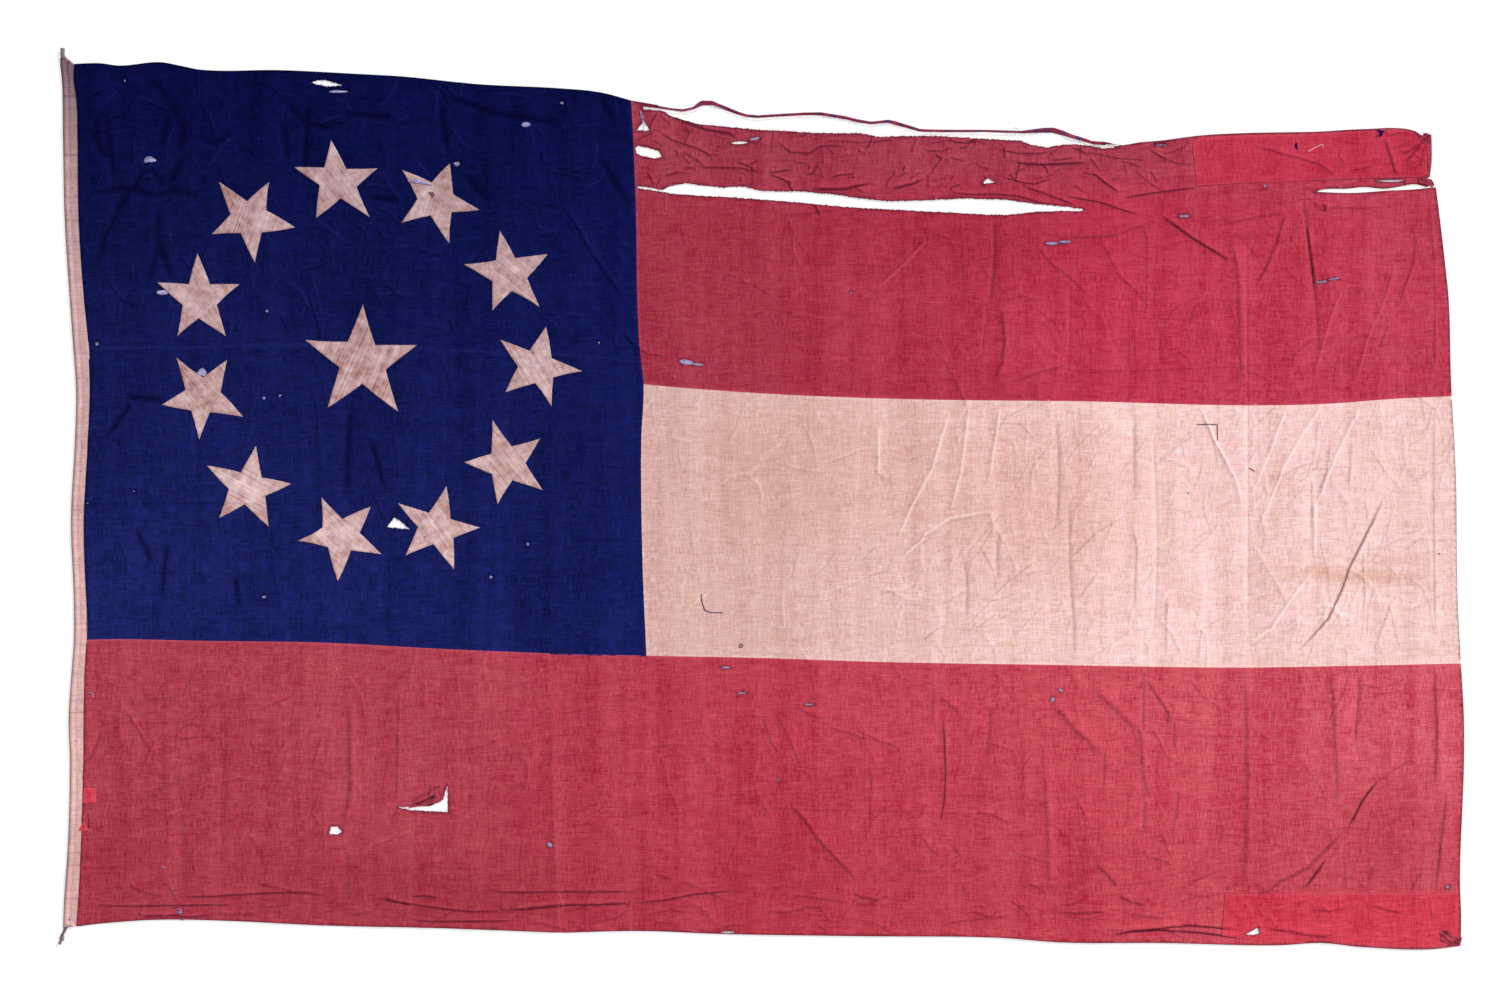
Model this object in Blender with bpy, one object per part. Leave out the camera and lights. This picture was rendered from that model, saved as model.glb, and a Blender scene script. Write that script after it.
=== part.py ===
"""A tattered flag, laid out flat and face up, built from the pieces its maker cut and sewed.

The flag is 5 by 8 feet: a canton of two widths of navy bunting with a ring of eleven stars round a
larger one, two red bars and a pale one, a canvas heading round the hoist cord, and four mends.
X runs along the fly, Y up the hoist and Z out of the face. The cloth rests on Z = 0.
"""

import math
from collections import namedtuple

import bmesh
import bpy
from mathutils import Matrix, Vector
from mathutils.geometry import delaunay_2d_cdt

MM = 0.001

# ---------------------------------------------------------------- driving sizes, in millimetres
CLOTH = 1.2          # bunting of the bars and the canton
PATCH = 1.0          # stars and mends
HEADING = 1.6        # two plies of canvas
CASING = 6.5         # height of the heading over the cord inside it
CASING_WIDTH = 11.0  # how far the casing's swelling reaches in from the outer fold
GAP = 0.3            # clearance that sewn pieces keep from each other
STRAND = 8.0         # hoist cord where its doubled end stands out at the top
TAIL = 5.0           # hoist cord where its tail leaves the foot
KNOT = 8.5           # knot at the end of the tail
CASING_FULLNESS = 0.8  # how round the swelling is: 1 is a plain arch, less is fuller
CORD_LIFT = 0.1      # the cord rides this far above the surface

# ---------------------------------------------------------------- how finely a sheet is divided
LATTICE = 95.0       # spacing of the sheet's own marks where it lies flat
LATTICE_CLEAR = 28.5  # they keep this far from its edges
FOLD_APART = 38.0    # and this far from the marks of a fold
FOLD_STEP = 48.0     # spacing of marks along a fold
FOLD_CLEAR = 8.0     # a fold's marks keep this far from edges and from each other
CASING_ROWS = (0.22, 0.5, 0.78, 1.0)  # rows of marks across the casing, as shares of its width
CASING_CLEAR = 1.5   # they keep this far from the heading's edges
CROSSING_ROUNDS = 8  # tries that bring two edges to their crossing
MERGE = 1e-6         # metres: vertices nearer than this are one

Mark = namedtuple("Mark", "fly hoist")
Slot = namedtuple("Slot", "fly low high")
Strip = namedtuple("Strip", "fly middle width")
Fold = namedtuple("Fold", "fly1 hoist1 fly2 hoist2 bend height half_width")


def table(row_type, *rows):
    """Rows of plain numbers under the named columns of row_type."""
    return [row_type(*row) for row in rows]


# ---------------------------------------------------------------- edges and seams
# Millimetres along the fly from the hoist side, and up the hoist from the lowest corner.
HEADING_EDGE = table(
    Mark, (9, 36), (11, 86), (18, 191), (21, 332), (19, 402), (23, 473), (28, 543), (28, 614), (23, 754),
    (30, 895), (32, 983), (26, 1071), (21, 1142), (12, 1282), (9, 1423), (7, 1529), (4, 1557), (4, 1567))
HEADING_SEAM = table(
    Mark, (34, 40), (39, 121), (42, 191), (46, 332), (48, 473), (53, 561), (48, 684), (47, 754),
    (54, 895), (57, 983), (54, 1071), (47, 1142), (38, 1282), (36, 1423), (34, 1494), (29, 1529),
    (30, 1556))
HEADING_TOP = Mark(14, 1569)  # where its slanting top meets the outer fold
CANTON_TOP = table(
    Mark, (30, 1556), (74, 1557), (109, 1553), (180, 1559), (215, 1553), (250, 1546), (391, 1545),
    (532, 1538), (602, 1534), (743, 1520), (884, 1513), (954, 1506), (1008, 1492))
CANTON_MIDDLE = table(
    Mark, (54, 1055), (180, 1057), (373, 1061), (646, 1055), (778, 1048), (910, 1044), (1023, 1032))
CANTON_FOOT = table(
    Mark, (50, 543), (109, 544), (250, 541), (461, 538), (672, 527), (884, 518), (1035, 515))
CANTON_SIDE = table(
    Mark, (1035, 515), (1028, 684), (1026, 895), (1030, 994), (1022, 1071), (1016, 1318),
    (1012, 1423), (1008, 1492))
TOP_SEAM = table(
    Mark, (1030, 994), (1095, 988), (1271, 976), (1447, 969), (1588, 966), (1799, 964), (2080, 957),
    (2221, 959), (2362, 969), (2452, 973))
FOOT_SEAM = table(
    Mark, (1035, 515), (1236, 511), (1447, 504), (1728, 499), (2080, 494), (2221, 496), (2464, 501))
FOOT_JOIN = table(Mark, (866, 518), (870, 376), (873, 228), (878, 135), (884, 29))
FOOT_EDGE = table(
    Mark, (33, 40), (74, 45), (180, 52), (320, 49), (461, 42), (672, 37), (884, 29), (1024, 32),
    (1165, 27), (1412, 23), (1658, 20), (1764, 12), (1940, 11), (2151, 7), (2221, 11), (2292, 4),
    (2415, 0), (2467, 6))
FLY_EDGE = table(
    Mark, (2467, 6), (2468, 50), (2466, 121), (2473, 332), (2473, 402), (2462, 614), (2459, 825),
    (2450, 1001), (2446, 1142), (2439, 1212), (2431, 1282), (2424, 1339))
# The hem from where the torn strip rejoins the bar to the fly corner, and down to the tear there.
FLY_HEM = table(
    Mark, (1869, 1413), (1904, 1418), (1940, 1421), (2010, 1430), (2080, 1434), (2221, 1437),
    (2292, 1441), (2383, 1439), (2399, 1430), (2408, 1435), (2416, 1428), (2416, 1384), (2413, 1358))
FLY_TEAR = table(
    Mark, (2406, 1355), (2416, 1353), (2421, 1346), (2408, 1341), (2387, 1346), (2362, 1342),
    (2334, 1338), (2299, 1341), (2267, 1338), (2223, 1336), (2212, 1331), (2276, 1329), (2339, 1333),
    (2383, 1335))

# ---------------------------------------------------------------- tears
LONG_TEAR = table(
    Slot, (1021, 1338, 1342), (1044, 1335, 1339), (1065, 1331, 1335), (1073, 1330, 1340),
    (1086, 1328, 1344), (1104, 1327, 1347), (1125, 1325, 1344), (1170, 1323, 1339), (1204, 1321, 1341),
    (1241, 1318, 1333), (1313, 1312, 1332), (1366, 1307, 1327), (1420, 1303, 1319), (1461, 1301, 1315),
    (1533, 1297, 1317), (1593, 1294, 1320), (1626, 1292, 1319), (1667, 1291, 1318), (1697, 1294, 1314),
    (1725, 1297, 1310), (1769, 1298, 1306), (1804, 1298, 1301))
HEM_STRIP = table(
    Strip, (1030, 1485, 6), (1056, 1481, 5), (1081, 1477, 4), (1100, 1475, 5), (1118, 1479, 5),
    (1133, 1488, 9), (1151, 1488, 9), (1167, 1482, 7), (1192, 1472, 6), (1211, 1466, 5),
    (1232, 1464, 5), (1258, 1466, 5), (1313, 1469, 5), (1343, 1469, 6), (1387, 1462, 6),
    (1406, 1457, 6), (1431, 1453, 5), (1461, 1456, 6), (1473, 1453, 7), (1494, 1447, 6),
    (1517, 1440, 5), (1549, 1439, 5), (1633, 1439, 4), (1697, 1437, 5), (1734, 1440, 9),
    (1751, 1440, 10), (1769, 1435, 9), (1785, 1429, 9), (1806, 1423, 7), (1822, 1418, 5),
    (1843, 1416, 5))
RAGGED_EDGE = table(
    Mark, (1862, 1410), (1839, 1408), (1818, 1412), (1795, 1415), (1771, 1415), (1741, 1410),
    (1714, 1414), (1693, 1422), (1623, 1425), (1552, 1430), (1482, 1430), (1447, 1428), (1412, 1435),
    (1341, 1435), (1236, 1441), (1165, 1447), (1130, 1450), (1095, 1459), (1077, 1466), (1060, 1475),
    (1030, 1477))
TOP_BAR_HOLES = {
    "corner": table(Mark, (1017, 1439), (1041, 1440), (1036, 1448), (1030, 1457), (1026, 1449)),
    "upper": table(Mark, (1016, 1410), (1022, 1413), (1046, 1407), (1058, 1403), (1062, 1393),
                   (1052, 1391), (1028, 1395), (1018, 1399)),
    "three_cornered": table(Mark, (1626, 1346), (1655, 1349), (1646, 1360), (1638, 1357)),
}
CANTON_UPPER_HOLES = {
    "wedge": table(Mark, (446, 1524), (458, 1528), (472, 1528), (488, 1523), (500, 1519), (478, 1517),
                   (460, 1520)),
    "frayed": table(Mark, (155, 1384), (163, 1392), (173, 1388), (172, 1381), (163, 1380)),
}
CANTON_LOWER_HOLES = {
    "three_cornered": table(Mark, (579, 742), (592, 759), (603, 752), (619, 738), (600, 740)),
}
FOOT_HOIST_HOLES = {
    "corner_tear": table(Mark, (597, 249), (620, 244), (686, 240), (686, 288), (678, 262), (655, 251)),
    "small": table(Mark, (478, 202), (480, 214), (492, 216), (500, 206), (492, 201)),
}
FOOT_FLY_HOLES = {
    "by_the_hem": table(Mark, (2089, 25), (2112, 38), (2114, 27), (2104, 24)),
}

# ---------------------------------------------------------------- folds that the cloth keeps
FOLDS = table(
    Fold,
    # the crumpled cloth between the torn hem and the long tear
    (1130, 1446, 1198, 1426, 2, 6, 10), (1143, 1386, 1160, 1362, 2, 5, 9),
    (1187, 1373, 1287, 1367, -4, 6, 11), (1310, 1366, 1396, 1386, -6, 7, 12),
    (1391, 1415, 1396, 1350, 2, 7, 12), (1366, 1345, 1438, 1345, 7, 8, 12),
    (1462, 1352, 1535, 1382, 0, 6, 12), (1500, 1405, 1586, 1405, 5, 5, 11),
    (1700, 1384, 1814, 1388, -6, 7, 12), (1818, 1367, 1868, 1334, 2, 6, 12),
    (1118, 1420, 1142, 1384, 2, 5, 9), (1230, 1420, 1292, 1400, 3, 5, 9),
    (1300, 1425, 1348, 1392, -3, 6, 10), (1424, 1402, 1484, 1380, 4, 5, 10),
    (1555, 1356, 1600, 1392, 3, 5, 10), (1612, 1404, 1664, 1374, -3, 5, 10),
    (1744, 1402, 1762, 1352, 2, 6, 10), (1900, 1395, 1940, 1330, 4, 5, 12),
    # the top bar below and beyond the tear
    (1940, 1293, 2068, 1200, 6, 6, 20), (2068, 1254, 2083, 980, 3, 5, 15),
    (2188, 1322, 2212, 1040, -6, 4, 18), (2164, 1292, 2110, 1170, 4, 4, 16),
    (2388, 1205, 2352, 1122, 0, 4, 16), (1778, 1012, 2104, 1022, 3, 4, 16),
    (1702, 1336, 1900, 1292, -3, 4, 14), (1646, 1280, 1648, 990, 0, 3, 12),
    (2260, 1163, 2216, 1052, 2, 4, 15),
    # the pale bar
    (2328, 786, 2186, 526, 18, 8, 20), (2002, 955, 2085, 800, 4, 5, 18),
    (2160, 950, 2098, 812, -4, 5, 16), (2290, 950, 2206, 776, 5, 5, 17),
    (1574, 940, 1502, 778, -5, 4, 18), (1654, 960, 1638, 820, 0, 4, 18),
    (2206, 676, 2088, 528, 4, 5, 18), (2206, 770, 2204, 540, 0, 3, 13),
    (2106, 760, 2098, 560, 0, 3, 12),
    # the bottom bar
    (2374, 328, 2196, 112, 26, 8, 20), (1906, 478, 1910, 300, 0, 4, 14),
    (1820, 462, 1908, 386, 0, 4, 14), (2244, 450, 2258, 246, 6, 5, 17),
    (1287, 260, 1400, 132, 6, 5, 16), (1542, 466, 1556, 222, -8, 4, 16),
    (674, 72, 1024, 78, -8, 5, 14), (1236, 78, 1450, 88, 12, 5, 14),
    (519, 430, 504, 208, 6, 4, 20), (2100, 470, 2098, 250, 0, 3, 12),
    (2424, 470, 2430, 130, -8, 4, 14), (1737, 304, 1748, 110, 0, 4, 14),
    (1756, 427, 1839, 341, 0, 4, 14), (567, 94, 628, 78, 0, 4, 12),
    # the canton
    (952, 1386, 1002, 1310, 0, 4, 16), (884, 1302, 998, 1138, -6, 4, 18),
    (171, 1312, 160, 1160, -4, 5, 14), (96, 1284, 66, 1204, 0, 4, 14),
    (674, 1500, 844, 1460, 4, 4, 14), (232, 1476, 330, 1452, 8, 5, 14),
    (310, 1452, 306, 1412, 2, 4, 10), (236, 1441, 224, 1386, 0, 4, 12),
    (134, 1488, 184, 1468, 2, 4, 10), (188, 722, 176, 596, 3, 4, 13),
    (246, 722, 272, 600, -4, 4, 13), (930, 880, 926, 620, 0, 3, 16),
    (232, 884, 244, 806, 0, 3, 12))

# ---------------------------------------------------------------- mends
FLY_TOP_PATCH = table(
    Mark, (1996, 1416), (2004, 1342), (2084, 1347), (2188, 1351), (2320, 1356), (2401, 1358),
    (2408, 1366), (2411, 1423), (2397, 1427), (2383, 1436), (2292, 1438), (2221, 1434), (2080, 1431),
    (2010, 1427))
FLY_FOOT_PATCH = table(
    Mark, (2048, 23), (2151, 11), (2221, 14), (2292, 8), (2415, 4), (2462, 10), (2463, 98),
    (2260, 97), (2054, 96))
SQUARE_PATCH = table(Mark, (45, 256), (67, 257), (68, 282), (46, 283))
CORNER_PATCH = table(Mark, (36, 208), (55, 207), (47, 225))

# ---------------------------------------------------------------- stars
# Each is cut a little unevenly: its ten corners, clockwise from its uppermost tip.
STARS = {
    "star_01": table(Mark, (481, 1423), (508, 1372), (563, 1373), (526, 1340), (549, 1287),
                     (498, 1320), (455, 1286), (461, 1343), (416, 1375), (469, 1374)),
    "star_02": table(Mark, (690, 1382), (696, 1327), (742, 1300), (693, 1296), (689, 1241),
                     (656, 1290), (605, 1277), (633, 1319), (606, 1370), (658, 1348)),
    "star_03": table(Mark, (778, 1263), (805, 1215), (862, 1222), (826, 1180), (848, 1129),
                     (799, 1157), (765, 1123), (765, 1174), (715, 1204), (771, 1211)),
    "star_04": table(Mark, (859, 1094), (869, 1039), (923, 1016), (872, 1005), (869, 954),
                     (840, 995), (788, 979), (810, 1024), (779, 1071), (830, 1052)),
    "star_05": table(Mark, (765, 930), (799, 884), (849, 898), (823, 854), (853, 807),
                     (800, 824), (774, 782), (764, 835), (715, 856), (763, 871)),
    "star_06": table(Mark, (684, 814), (691, 756), (743, 741), (696, 723), (697, 668),
                     (661, 712), (612, 692), (634, 742), (599, 784), (653, 767)),
    "star_07": table(Mark, (464, 794), (501, 756), (551, 778), (531, 732), (570, 694),
                     (516, 701), (493, 647), (476, 706), (423, 718), (466, 741)),
    "star_08": table(Mark, (349, 885), (359, 829), (411, 818), (365, 797), (371, 743),
                     (329, 782), (284, 758), (301, 809), (263, 850), (322, 838)),
    "star_09": table(Mark, (209, 1040), (256, 1005), (298, 1036), (287, 979), (326, 936),
                     (268, 944), (249, 896), (235, 947), (183, 957), (225, 983)),
    "star_10": table(Mark, (246, 1223), (268, 1169), (320, 1169), (280, 1133), (296, 1078),
                     (248, 1109), (211, 1078), (220, 1132), (176, 1172), (231, 1169)),
    "star_11": table(Mark, (284, 1349), (333, 1315), (372, 1349), (367, 1299), (418, 1269),
                     (359, 1260), (347, 1207), (322, 1259), (271, 1257), (304, 1292)),
    "star_centre": table(Mark, (537, 1134), (559, 1062), (632, 1062), (577, 1019), (599, 945),
                         (536, 994), (475, 952), (496, 1023), (436, 1071), (510, 1068))}

# ---------------------------------------------------------------- hoist cord
STUB_ROUTE = table(Mark, (9.2, 1569.5), (9.0, 1577), (9.4, 1584.5))
TAIL_ROUTE = table(Mark, (13.2, 34.4), (11.8, 31.5), (9.4, 27.5), (7.4, 23.5), (5.8, 19.2), (5.0, 15.2))
KNOT_CENTRE = Mark(4.6, 10.4)

# ---------------------------------------------------------------- colours, as 0 to 255 on a screen
NAVY = (19, 25, 82)
RED = (176, 60, 76)
FRESH_RED = (200, 58, 80)
UNDYED = (236, 193, 186)
CANVAS = (190, 156, 155)
STAR_LINEN = (190, 155, 154)
CORD = (140, 112, 110)


def level(line, fly):
    """Height of an edge that runs along the fly."""
    for a, b in zip(line, line[1:]):
        if fly <= b.fly:
            break
    return a.hoist + (b.hoist - a.hoist) * (fly - a.fly) / (b.fly - a.fly)


def reach(line, hoist):
    """Place along the fly of an edge that runs up the hoist."""
    if line[0].hoist > line[-1].hoist:
        line = line[::-1]
    for a, b in zip(line, line[1:]):
        if hoist <= b.hoist:
            break
    return a.fly + (b.fly - a.fly) * (hoist - a.hoist) / (b.hoist - a.hoist)


def crossing(along, up):
    """Where an edge along the fly meets one up the hoist."""
    fly = up[0].fly
    for _ in range(CROSSING_ROUNDS):
        hoist = level(along, fly)
        fly = reach(up, hoist)
    return Mark(fly, hoist)


def run(line, start, end):
    """The marks of a line from one of its points to another, both included."""
    axis = 0 if abs(end.fly - start.fly) > abs(end.hoist - start.hoist) else 1
    low, high = sorted((start[axis], end[axis]))
    between = sorted((m for m in line if low + 1 < m[axis] < high - 1), key=lambda m: m[axis])
    if end[axis] < start[axis]:
        between.reverse()
    return [start, *between, end]


def ring(*runs):
    """One closed outline from runs of marks that meet end to end."""
    marks = [mark for stretch in runs for mark in stretch]
    return [m for i, m in enumerate(marks) if math.dist(m, marks[i - 1]) > 0.5]


def inset(outline, margin):
    """The outline of a counter-clockwise ring, drawn in by a margin all round."""
    drawn = []
    for i, here in enumerate(outline):
        before = Vector(here) - Vector(outline[i - 1])
        after = Vector(outline[(i + 1) % len(outline)]) - Vector(here)
        inward = before.normalized().orthogonal() + after.normalized().orthogonal()
        scale = 2 * margin / max(inward.length_squared, 0.6)
        drawn.append(Mark(here.fly + inward.x * scale, here.hoist + inward.y * scale))
    return drawn


def inside(point, outline):
    """True where a point lies within a closed outline."""
    odd = False
    for a, b in zip(outline, outline[1:] + outline[:1]):
        if (a[1] > point[1]) != (b[1] > point[1]):
            if point[0] < a[0] + (b[0] - a[0]) * (point[1] - a[1]) / (b[1] - a[1]):
                odd = not odd
    return odd


def clearance(point, outline):
    """Distance from a point to the nearest stretch of a closed outline."""
    nearest = math.inf
    here = Vector(point)
    for a, b in zip(outline, outline[1:] + outline[:1]):
        start = Vector(a)
        side = Vector(b) - start
        share = min(max((here - start).dot(side) / side.length_squared, 0), 1)
        nearest = min(nearest, (start + side * share - here).length)
    return nearest


def crest(fold):
    """Points along a fold's crest, bowed sideways by its bend, each with its share of the length."""
    start = Vector((fold.fly1, fold.hoist1))
    end = Vector((fold.fly2, fold.hoist2))
    side = (end - start).normalized().orthogonal()
    steps = max(3, round((end - start).length / FOLD_STEP))
    shares = [i / steps for i in range(steps + 1)]
    return [(start.lerp(end, s) + side * fold.bend * math.sin(math.pi * s), s) for s in shares]


CRESTS = [(fold, crest(fold)) for fold in FOLDS]


def fold_height(fly, hoist):
    """How far the folds lift the cloth at a point: the highest of all of them there."""
    here = Vector((fly, hoist))
    height = 0.0
    for fold, line in CRESTS:
        for (a, share_a), (b, share_b) in zip(line, line[1:]):
            side = b - a
            share = min(max((here - a).dot(side) / side.length_squared, 0), 1)
            away = (a + side * share - here).length / fold.half_width
            if away < 1:
                along = share_a + (share_b - share_a) * share
                taper = min(1, 4 * along, 4 - 4 * along)
                height = max(height, fold.height * taper * (1 + math.cos(math.pi * away)) / 2)
    return height


def fold_marks():
    """Marks on every crest and along the feet on both its sides."""
    marks = []
    for fold, line in CRESTS:
        side = (line[-1][0] - line[0][0]).normalized().orthogonal() * fold.half_width
        for point, share in line:
            marks.append(Mark(*point))
            if 0 < share < 1:
                marks += [Mark(*(point + side)), Mark(*(point - side))]
    return marks


def spread(outline, holes, wanted, clear):
    """The wanted marks that lie on the sheet, clear of its edges and of each other."""
    kept = []
    for mark in wanted:
        near_edge = any(clearance(mark, edge) < clear for edge in (outline, *holes))
        if near_edge or not inside(mark, outline) or any(inside(mark, hole) for hole in holes):
            continue
        if all(math.dist(mark, other) > clear for other in kept):
            kept.append(mark)
    return kept


def lattice(outline):
    """A staggered lattice of marks over an outline's box."""
    flies = [m[0] for m in outline]
    hoists = [m[1] for m in outline]
    rise = LATTICE * math.sqrt(3) / 2
    marks = []
    for row in range(1, 1 + int((max(hoists) - min(hoists)) / rise)):
        fly = min(flies) + LATTICE * (0.5 if row % 2 else 1.0)
        while fly < max(flies):
            marks.append(Mark(fly, min(hoists) + row * rise))
            fly += LATTICE
    return marks


def srgb(colour):
    """Linear values of a screen colour."""
    values = [c / 255 for c in colour]
    return (*[v / 12.92 if v <= 0.04045 else ((v + 0.055) / 1.055) ** 2.4 for v in values], 1.0)


def material(name, colour, roughness=0.9):
    mat = bpy.data.materials.new(name)
    mat.use_nodes = True
    bsdf = mat.node_tree.nodes["Principled BSDF"]
    bsdf.inputs["Base Color"].default_value = srgb(colour)
    bsdf.inputs["Roughness"].default_value = roughness
    bsdf.inputs["Metallic"].default_value = 0.0
    return mat


def add_object(name, mesh, colour):
    """Puts a mesh into the flag's collection under its node name, with a material of its own."""
    mesh.materials.append(material(name + "_cloth", colour))
    obj = bpy.data.objects.new(name, mesh)
    flag.objects.link(obj)
    return obj


def sheet(name, outline, colour, holes=(), inner=(), under=lambda x, y: 0.0, thickness=lambda x, y: CLOTH):
    """A closed sheet of cloth. Its plan is cut into triangles between its outline, its holes and its
    inner marks, each is set at its height, and the whole is drawn up by the cloth's thickness."""
    rings = [list(outline), *holes]
    marks = [mark for edge in rings for mark in edge] + list(inner)
    edges = []
    for edge in rings:
        first = len(edges)
        edges += [(first + i, first + (i + 1) % len(edge)) for i in range(len(edge))]
    places, _, triangles, *_ = delaunay_2d_cdt([Vector(m) for m in marks], edges, [], 0, 1e-3)
    bm = bmesh.new()
    lower = [bm.verts.new((p.x * MM, p.y * MM, under(p.x, p.y) * MM)) for p in places]
    for corners in triangles:
        middle = sum((places[i] for i in corners), Vector((0, 0))) / 3
        if inside(middle, rings[0]) and not any(inside(middle, hole) for hole in holes):
            bm.faces.new([lower[i] for i in corners])
    bmesh.ops.delete(bm, geom=[v for v in bm.verts if not v.link_faces], context="VERTS")
    raised = bmesh.ops.extrude_face_region(bm, geom=bm.faces[:])["geom"]
    for vert in (g for g in raised if isinstance(g, bmesh.types.BMVert)):
        vert.co.z += thickness(vert.co.x / MM, vert.co.y / MM) * MM
    bmesh.ops.recalc_face_normals(bm, faces=bm.faces[:])
    mesh = bpy.data.meshes.new(name)
    bm.to_mesh(mesh)
    bm.free()
    return add_object(name, mesh, colour)


def panel(name, outline, colour, holes=()):
    """One width of bunting between its seams, with its folds and its tears."""
    edge = inset(outline, GAP / 2)
    folds = spread(edge, holes, fold_marks(), FOLD_CLEAR)
    flat = spread(edge, holes, lattice(edge), LATTICE_CLEAR)
    flat = [m for m in flat if all(math.dist(m, f) > FOLD_APART for f in folds)]
    return sheet(name, edge, colour, holes, folds + flat, fold_height)


def applique(name, outline, colour, holes=(), lift=CLOTH + GAP):
    """A flat piece sewn on top of the bunting."""
    return sheet(name, outline, colour, holes, (), lambda x, y: lift, lambda x, y: PATCH)


def build_canton():
    top_left, top_right = CANTON_TOP[0], CANTON_TOP[-1]
    middle_left = crossing(CANTON_MIDDLE, HEADING_SEAM)
    middle_right = crossing(CANTON_MIDDLE, CANTON_SIDE)
    foot_left = crossing(CANTON_FOOT, HEADING_SEAM)
    foot_right = CANTON_FOOT[-1]
    upper = ring(run(CANTON_MIDDLE, middle_left, middle_right), run(CANTON_SIDE, middle_right, top_right),
                 run(CANTON_TOP, top_right, top_left), run(HEADING_SEAM, top_left, middle_left))
    lower = ring(run(CANTON_FOOT, foot_left, foot_right), run(CANTON_SIDE, foot_right, middle_right),
                 run(CANTON_MIDDLE, middle_right, middle_left), run(HEADING_SEAM, middle_left, foot_left))
    panel("canton_upper", upper, NAVY, list(CANTON_UPPER_HOLES.values()))
    panel("canton_lower", lower, NAVY, list(CANTON_LOWER_HOLES.values()))


def hem_gap():
    """The hole between the torn hem strip and the ragged edge below it."""
    return RAGGED_EDGE + [Mark(s.fly, s.middle - s.width / 2) for s in HEM_STRIP]


def tear_ring(slots):
    """A tear's outline from its low and high edges, which meet at both its ends."""
    return [Mark(s.fly, s.low) for s in slots] + [Mark(s.fly, s.high) for s in reversed(slots)]


def build_bars():
    top_start, top_end = TOP_SEAM[0], crossing(TOP_SEAM, FLY_EDGE)
    foot_start, foot_end = FOOT_SEAM[0], crossing(FOOT_SEAM, FLY_EDGE)
    join_top, join_foot = crossing(CANTON_FOOT, FOOT_JOIN), FOOT_JOIN[-1]
    foot_left = crossing(CANTON_FOOT, HEADING_SEAM)
    strip_top = [Mark(s.fly, s.middle + s.width / 2) for s in reversed(HEM_STRIP)]
    top = ring(run(TOP_SEAM, top_start, top_end), run(FLY_EDGE, top_end, FLY_EDGE[-1]), FLY_TEAR[::-1],
               FLY_HEM[::-1], strip_top, run(CANTON_SIDE, CANTON_SIDE[-1], top_start))
    white = ring(run(FOOT_SEAM, foot_start, foot_end), run(FLY_EDGE, foot_end, top_end),
                 run(TOP_SEAM, top_end, top_start), run(CANTON_SIDE, top_start, foot_start))
    foot_hoist = ring(run(FOOT_EDGE, HEADING_SEAM[0], join_foot), run(FOOT_JOIN, join_foot, join_top),
                      run(CANTON_FOOT, join_top, foot_left), run(HEADING_SEAM, foot_left, HEADING_SEAM[0]))
    foot_fly = ring(run(FOOT_EDGE, join_foot, FLY_EDGE[0]), run(FLY_EDGE, FLY_EDGE[0], foot_end),
                    run(FOOT_SEAM, foot_end, foot_start), run(CANTON_FOOT, foot_start, join_top),
                    run(FOOT_JOIN, join_top, join_foot))
    panel("top_bar", top, RED, [tear_ring(LONG_TEAR), hem_gap(), *TOP_BAR_HOLES.values()])
    panel("white_bar", white, UNDYED)
    panel("bottom_bar_hoist", foot_hoist, RED, list(FOOT_HOIST_HOLES.values()))
    panel("bottom_bar_fly", foot_fly, RED, list(FOOT_FLY_HOLES.values()))


def casing(fly, hoist):
    """Thickness of the heading: canvas, swollen along its outer fold where the cord runs inside."""
    across = (fly - reach(HEADING_EDGE, min(hoist, HEADING_EDGE[-1].hoist))) / CASING_WIDTH
    swell = math.sin(math.pi * across) if 0 < across < 1 else 0.0
    return HEADING + (CASING - HEADING) * swell ** CASING_FULLNESS


def build_heading():
    outline = ring(HEADING_EDGE[:1], HEADING_SEAM, [HEADING_TOP], HEADING_EDGE[::-1])
    edge = inset(outline, GAP / 2)
    across = [CASING_WIDTH * share for share in CASING_ROWS]
    inner = [Mark(m.fly + a, m.hoist) for m in HEADING_EDGE for a in across]
    sheet("heading", edge, CANVAS, (), spread(edge, (), inner, CASING_CLEAR), thickness=casing)


def tube(name, route, thick):
    """A stretch of cord that lies on the surface along a route."""
    curve = bpy.data.curves.new(name + "_route", "CURVE")
    curve.dimensions = "3D"
    curve.bevel_depth = thick / 2 * MM
    curve.bevel_resolution = 2
    curve.use_fill_caps = True
    line = curve.splines.new("POLY")
    line.points.add(len(route) - 1)
    for point, mark in zip(line.points, route):
        point.co = (mark.fly * MM, mark.hoist * MM, (thick / 2 + CORD_LIFT) * MM, 1)
    drawn = bpy.data.objects.new(name + "_route", curve)
    bpy.context.scene.collection.objects.link(drawn)
    seen = drawn.evaluated_get(bpy.context.evaluated_depsgraph_get())
    mesh = bpy.data.meshes.new_from_object(seen)
    bpy.data.objects.remove(drawn)
    bm = bmesh.new()
    bm.from_mesh(mesh)
    bmesh.ops.remove_doubles(bm, verts=bm.verts, dist=MERGE)
    bmesh.ops.recalc_face_normals(bm, faces=bm.faces[:])
    bm.to_mesh(mesh)
    bm.free()
    return add_object(name, mesh, CORD)


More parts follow.
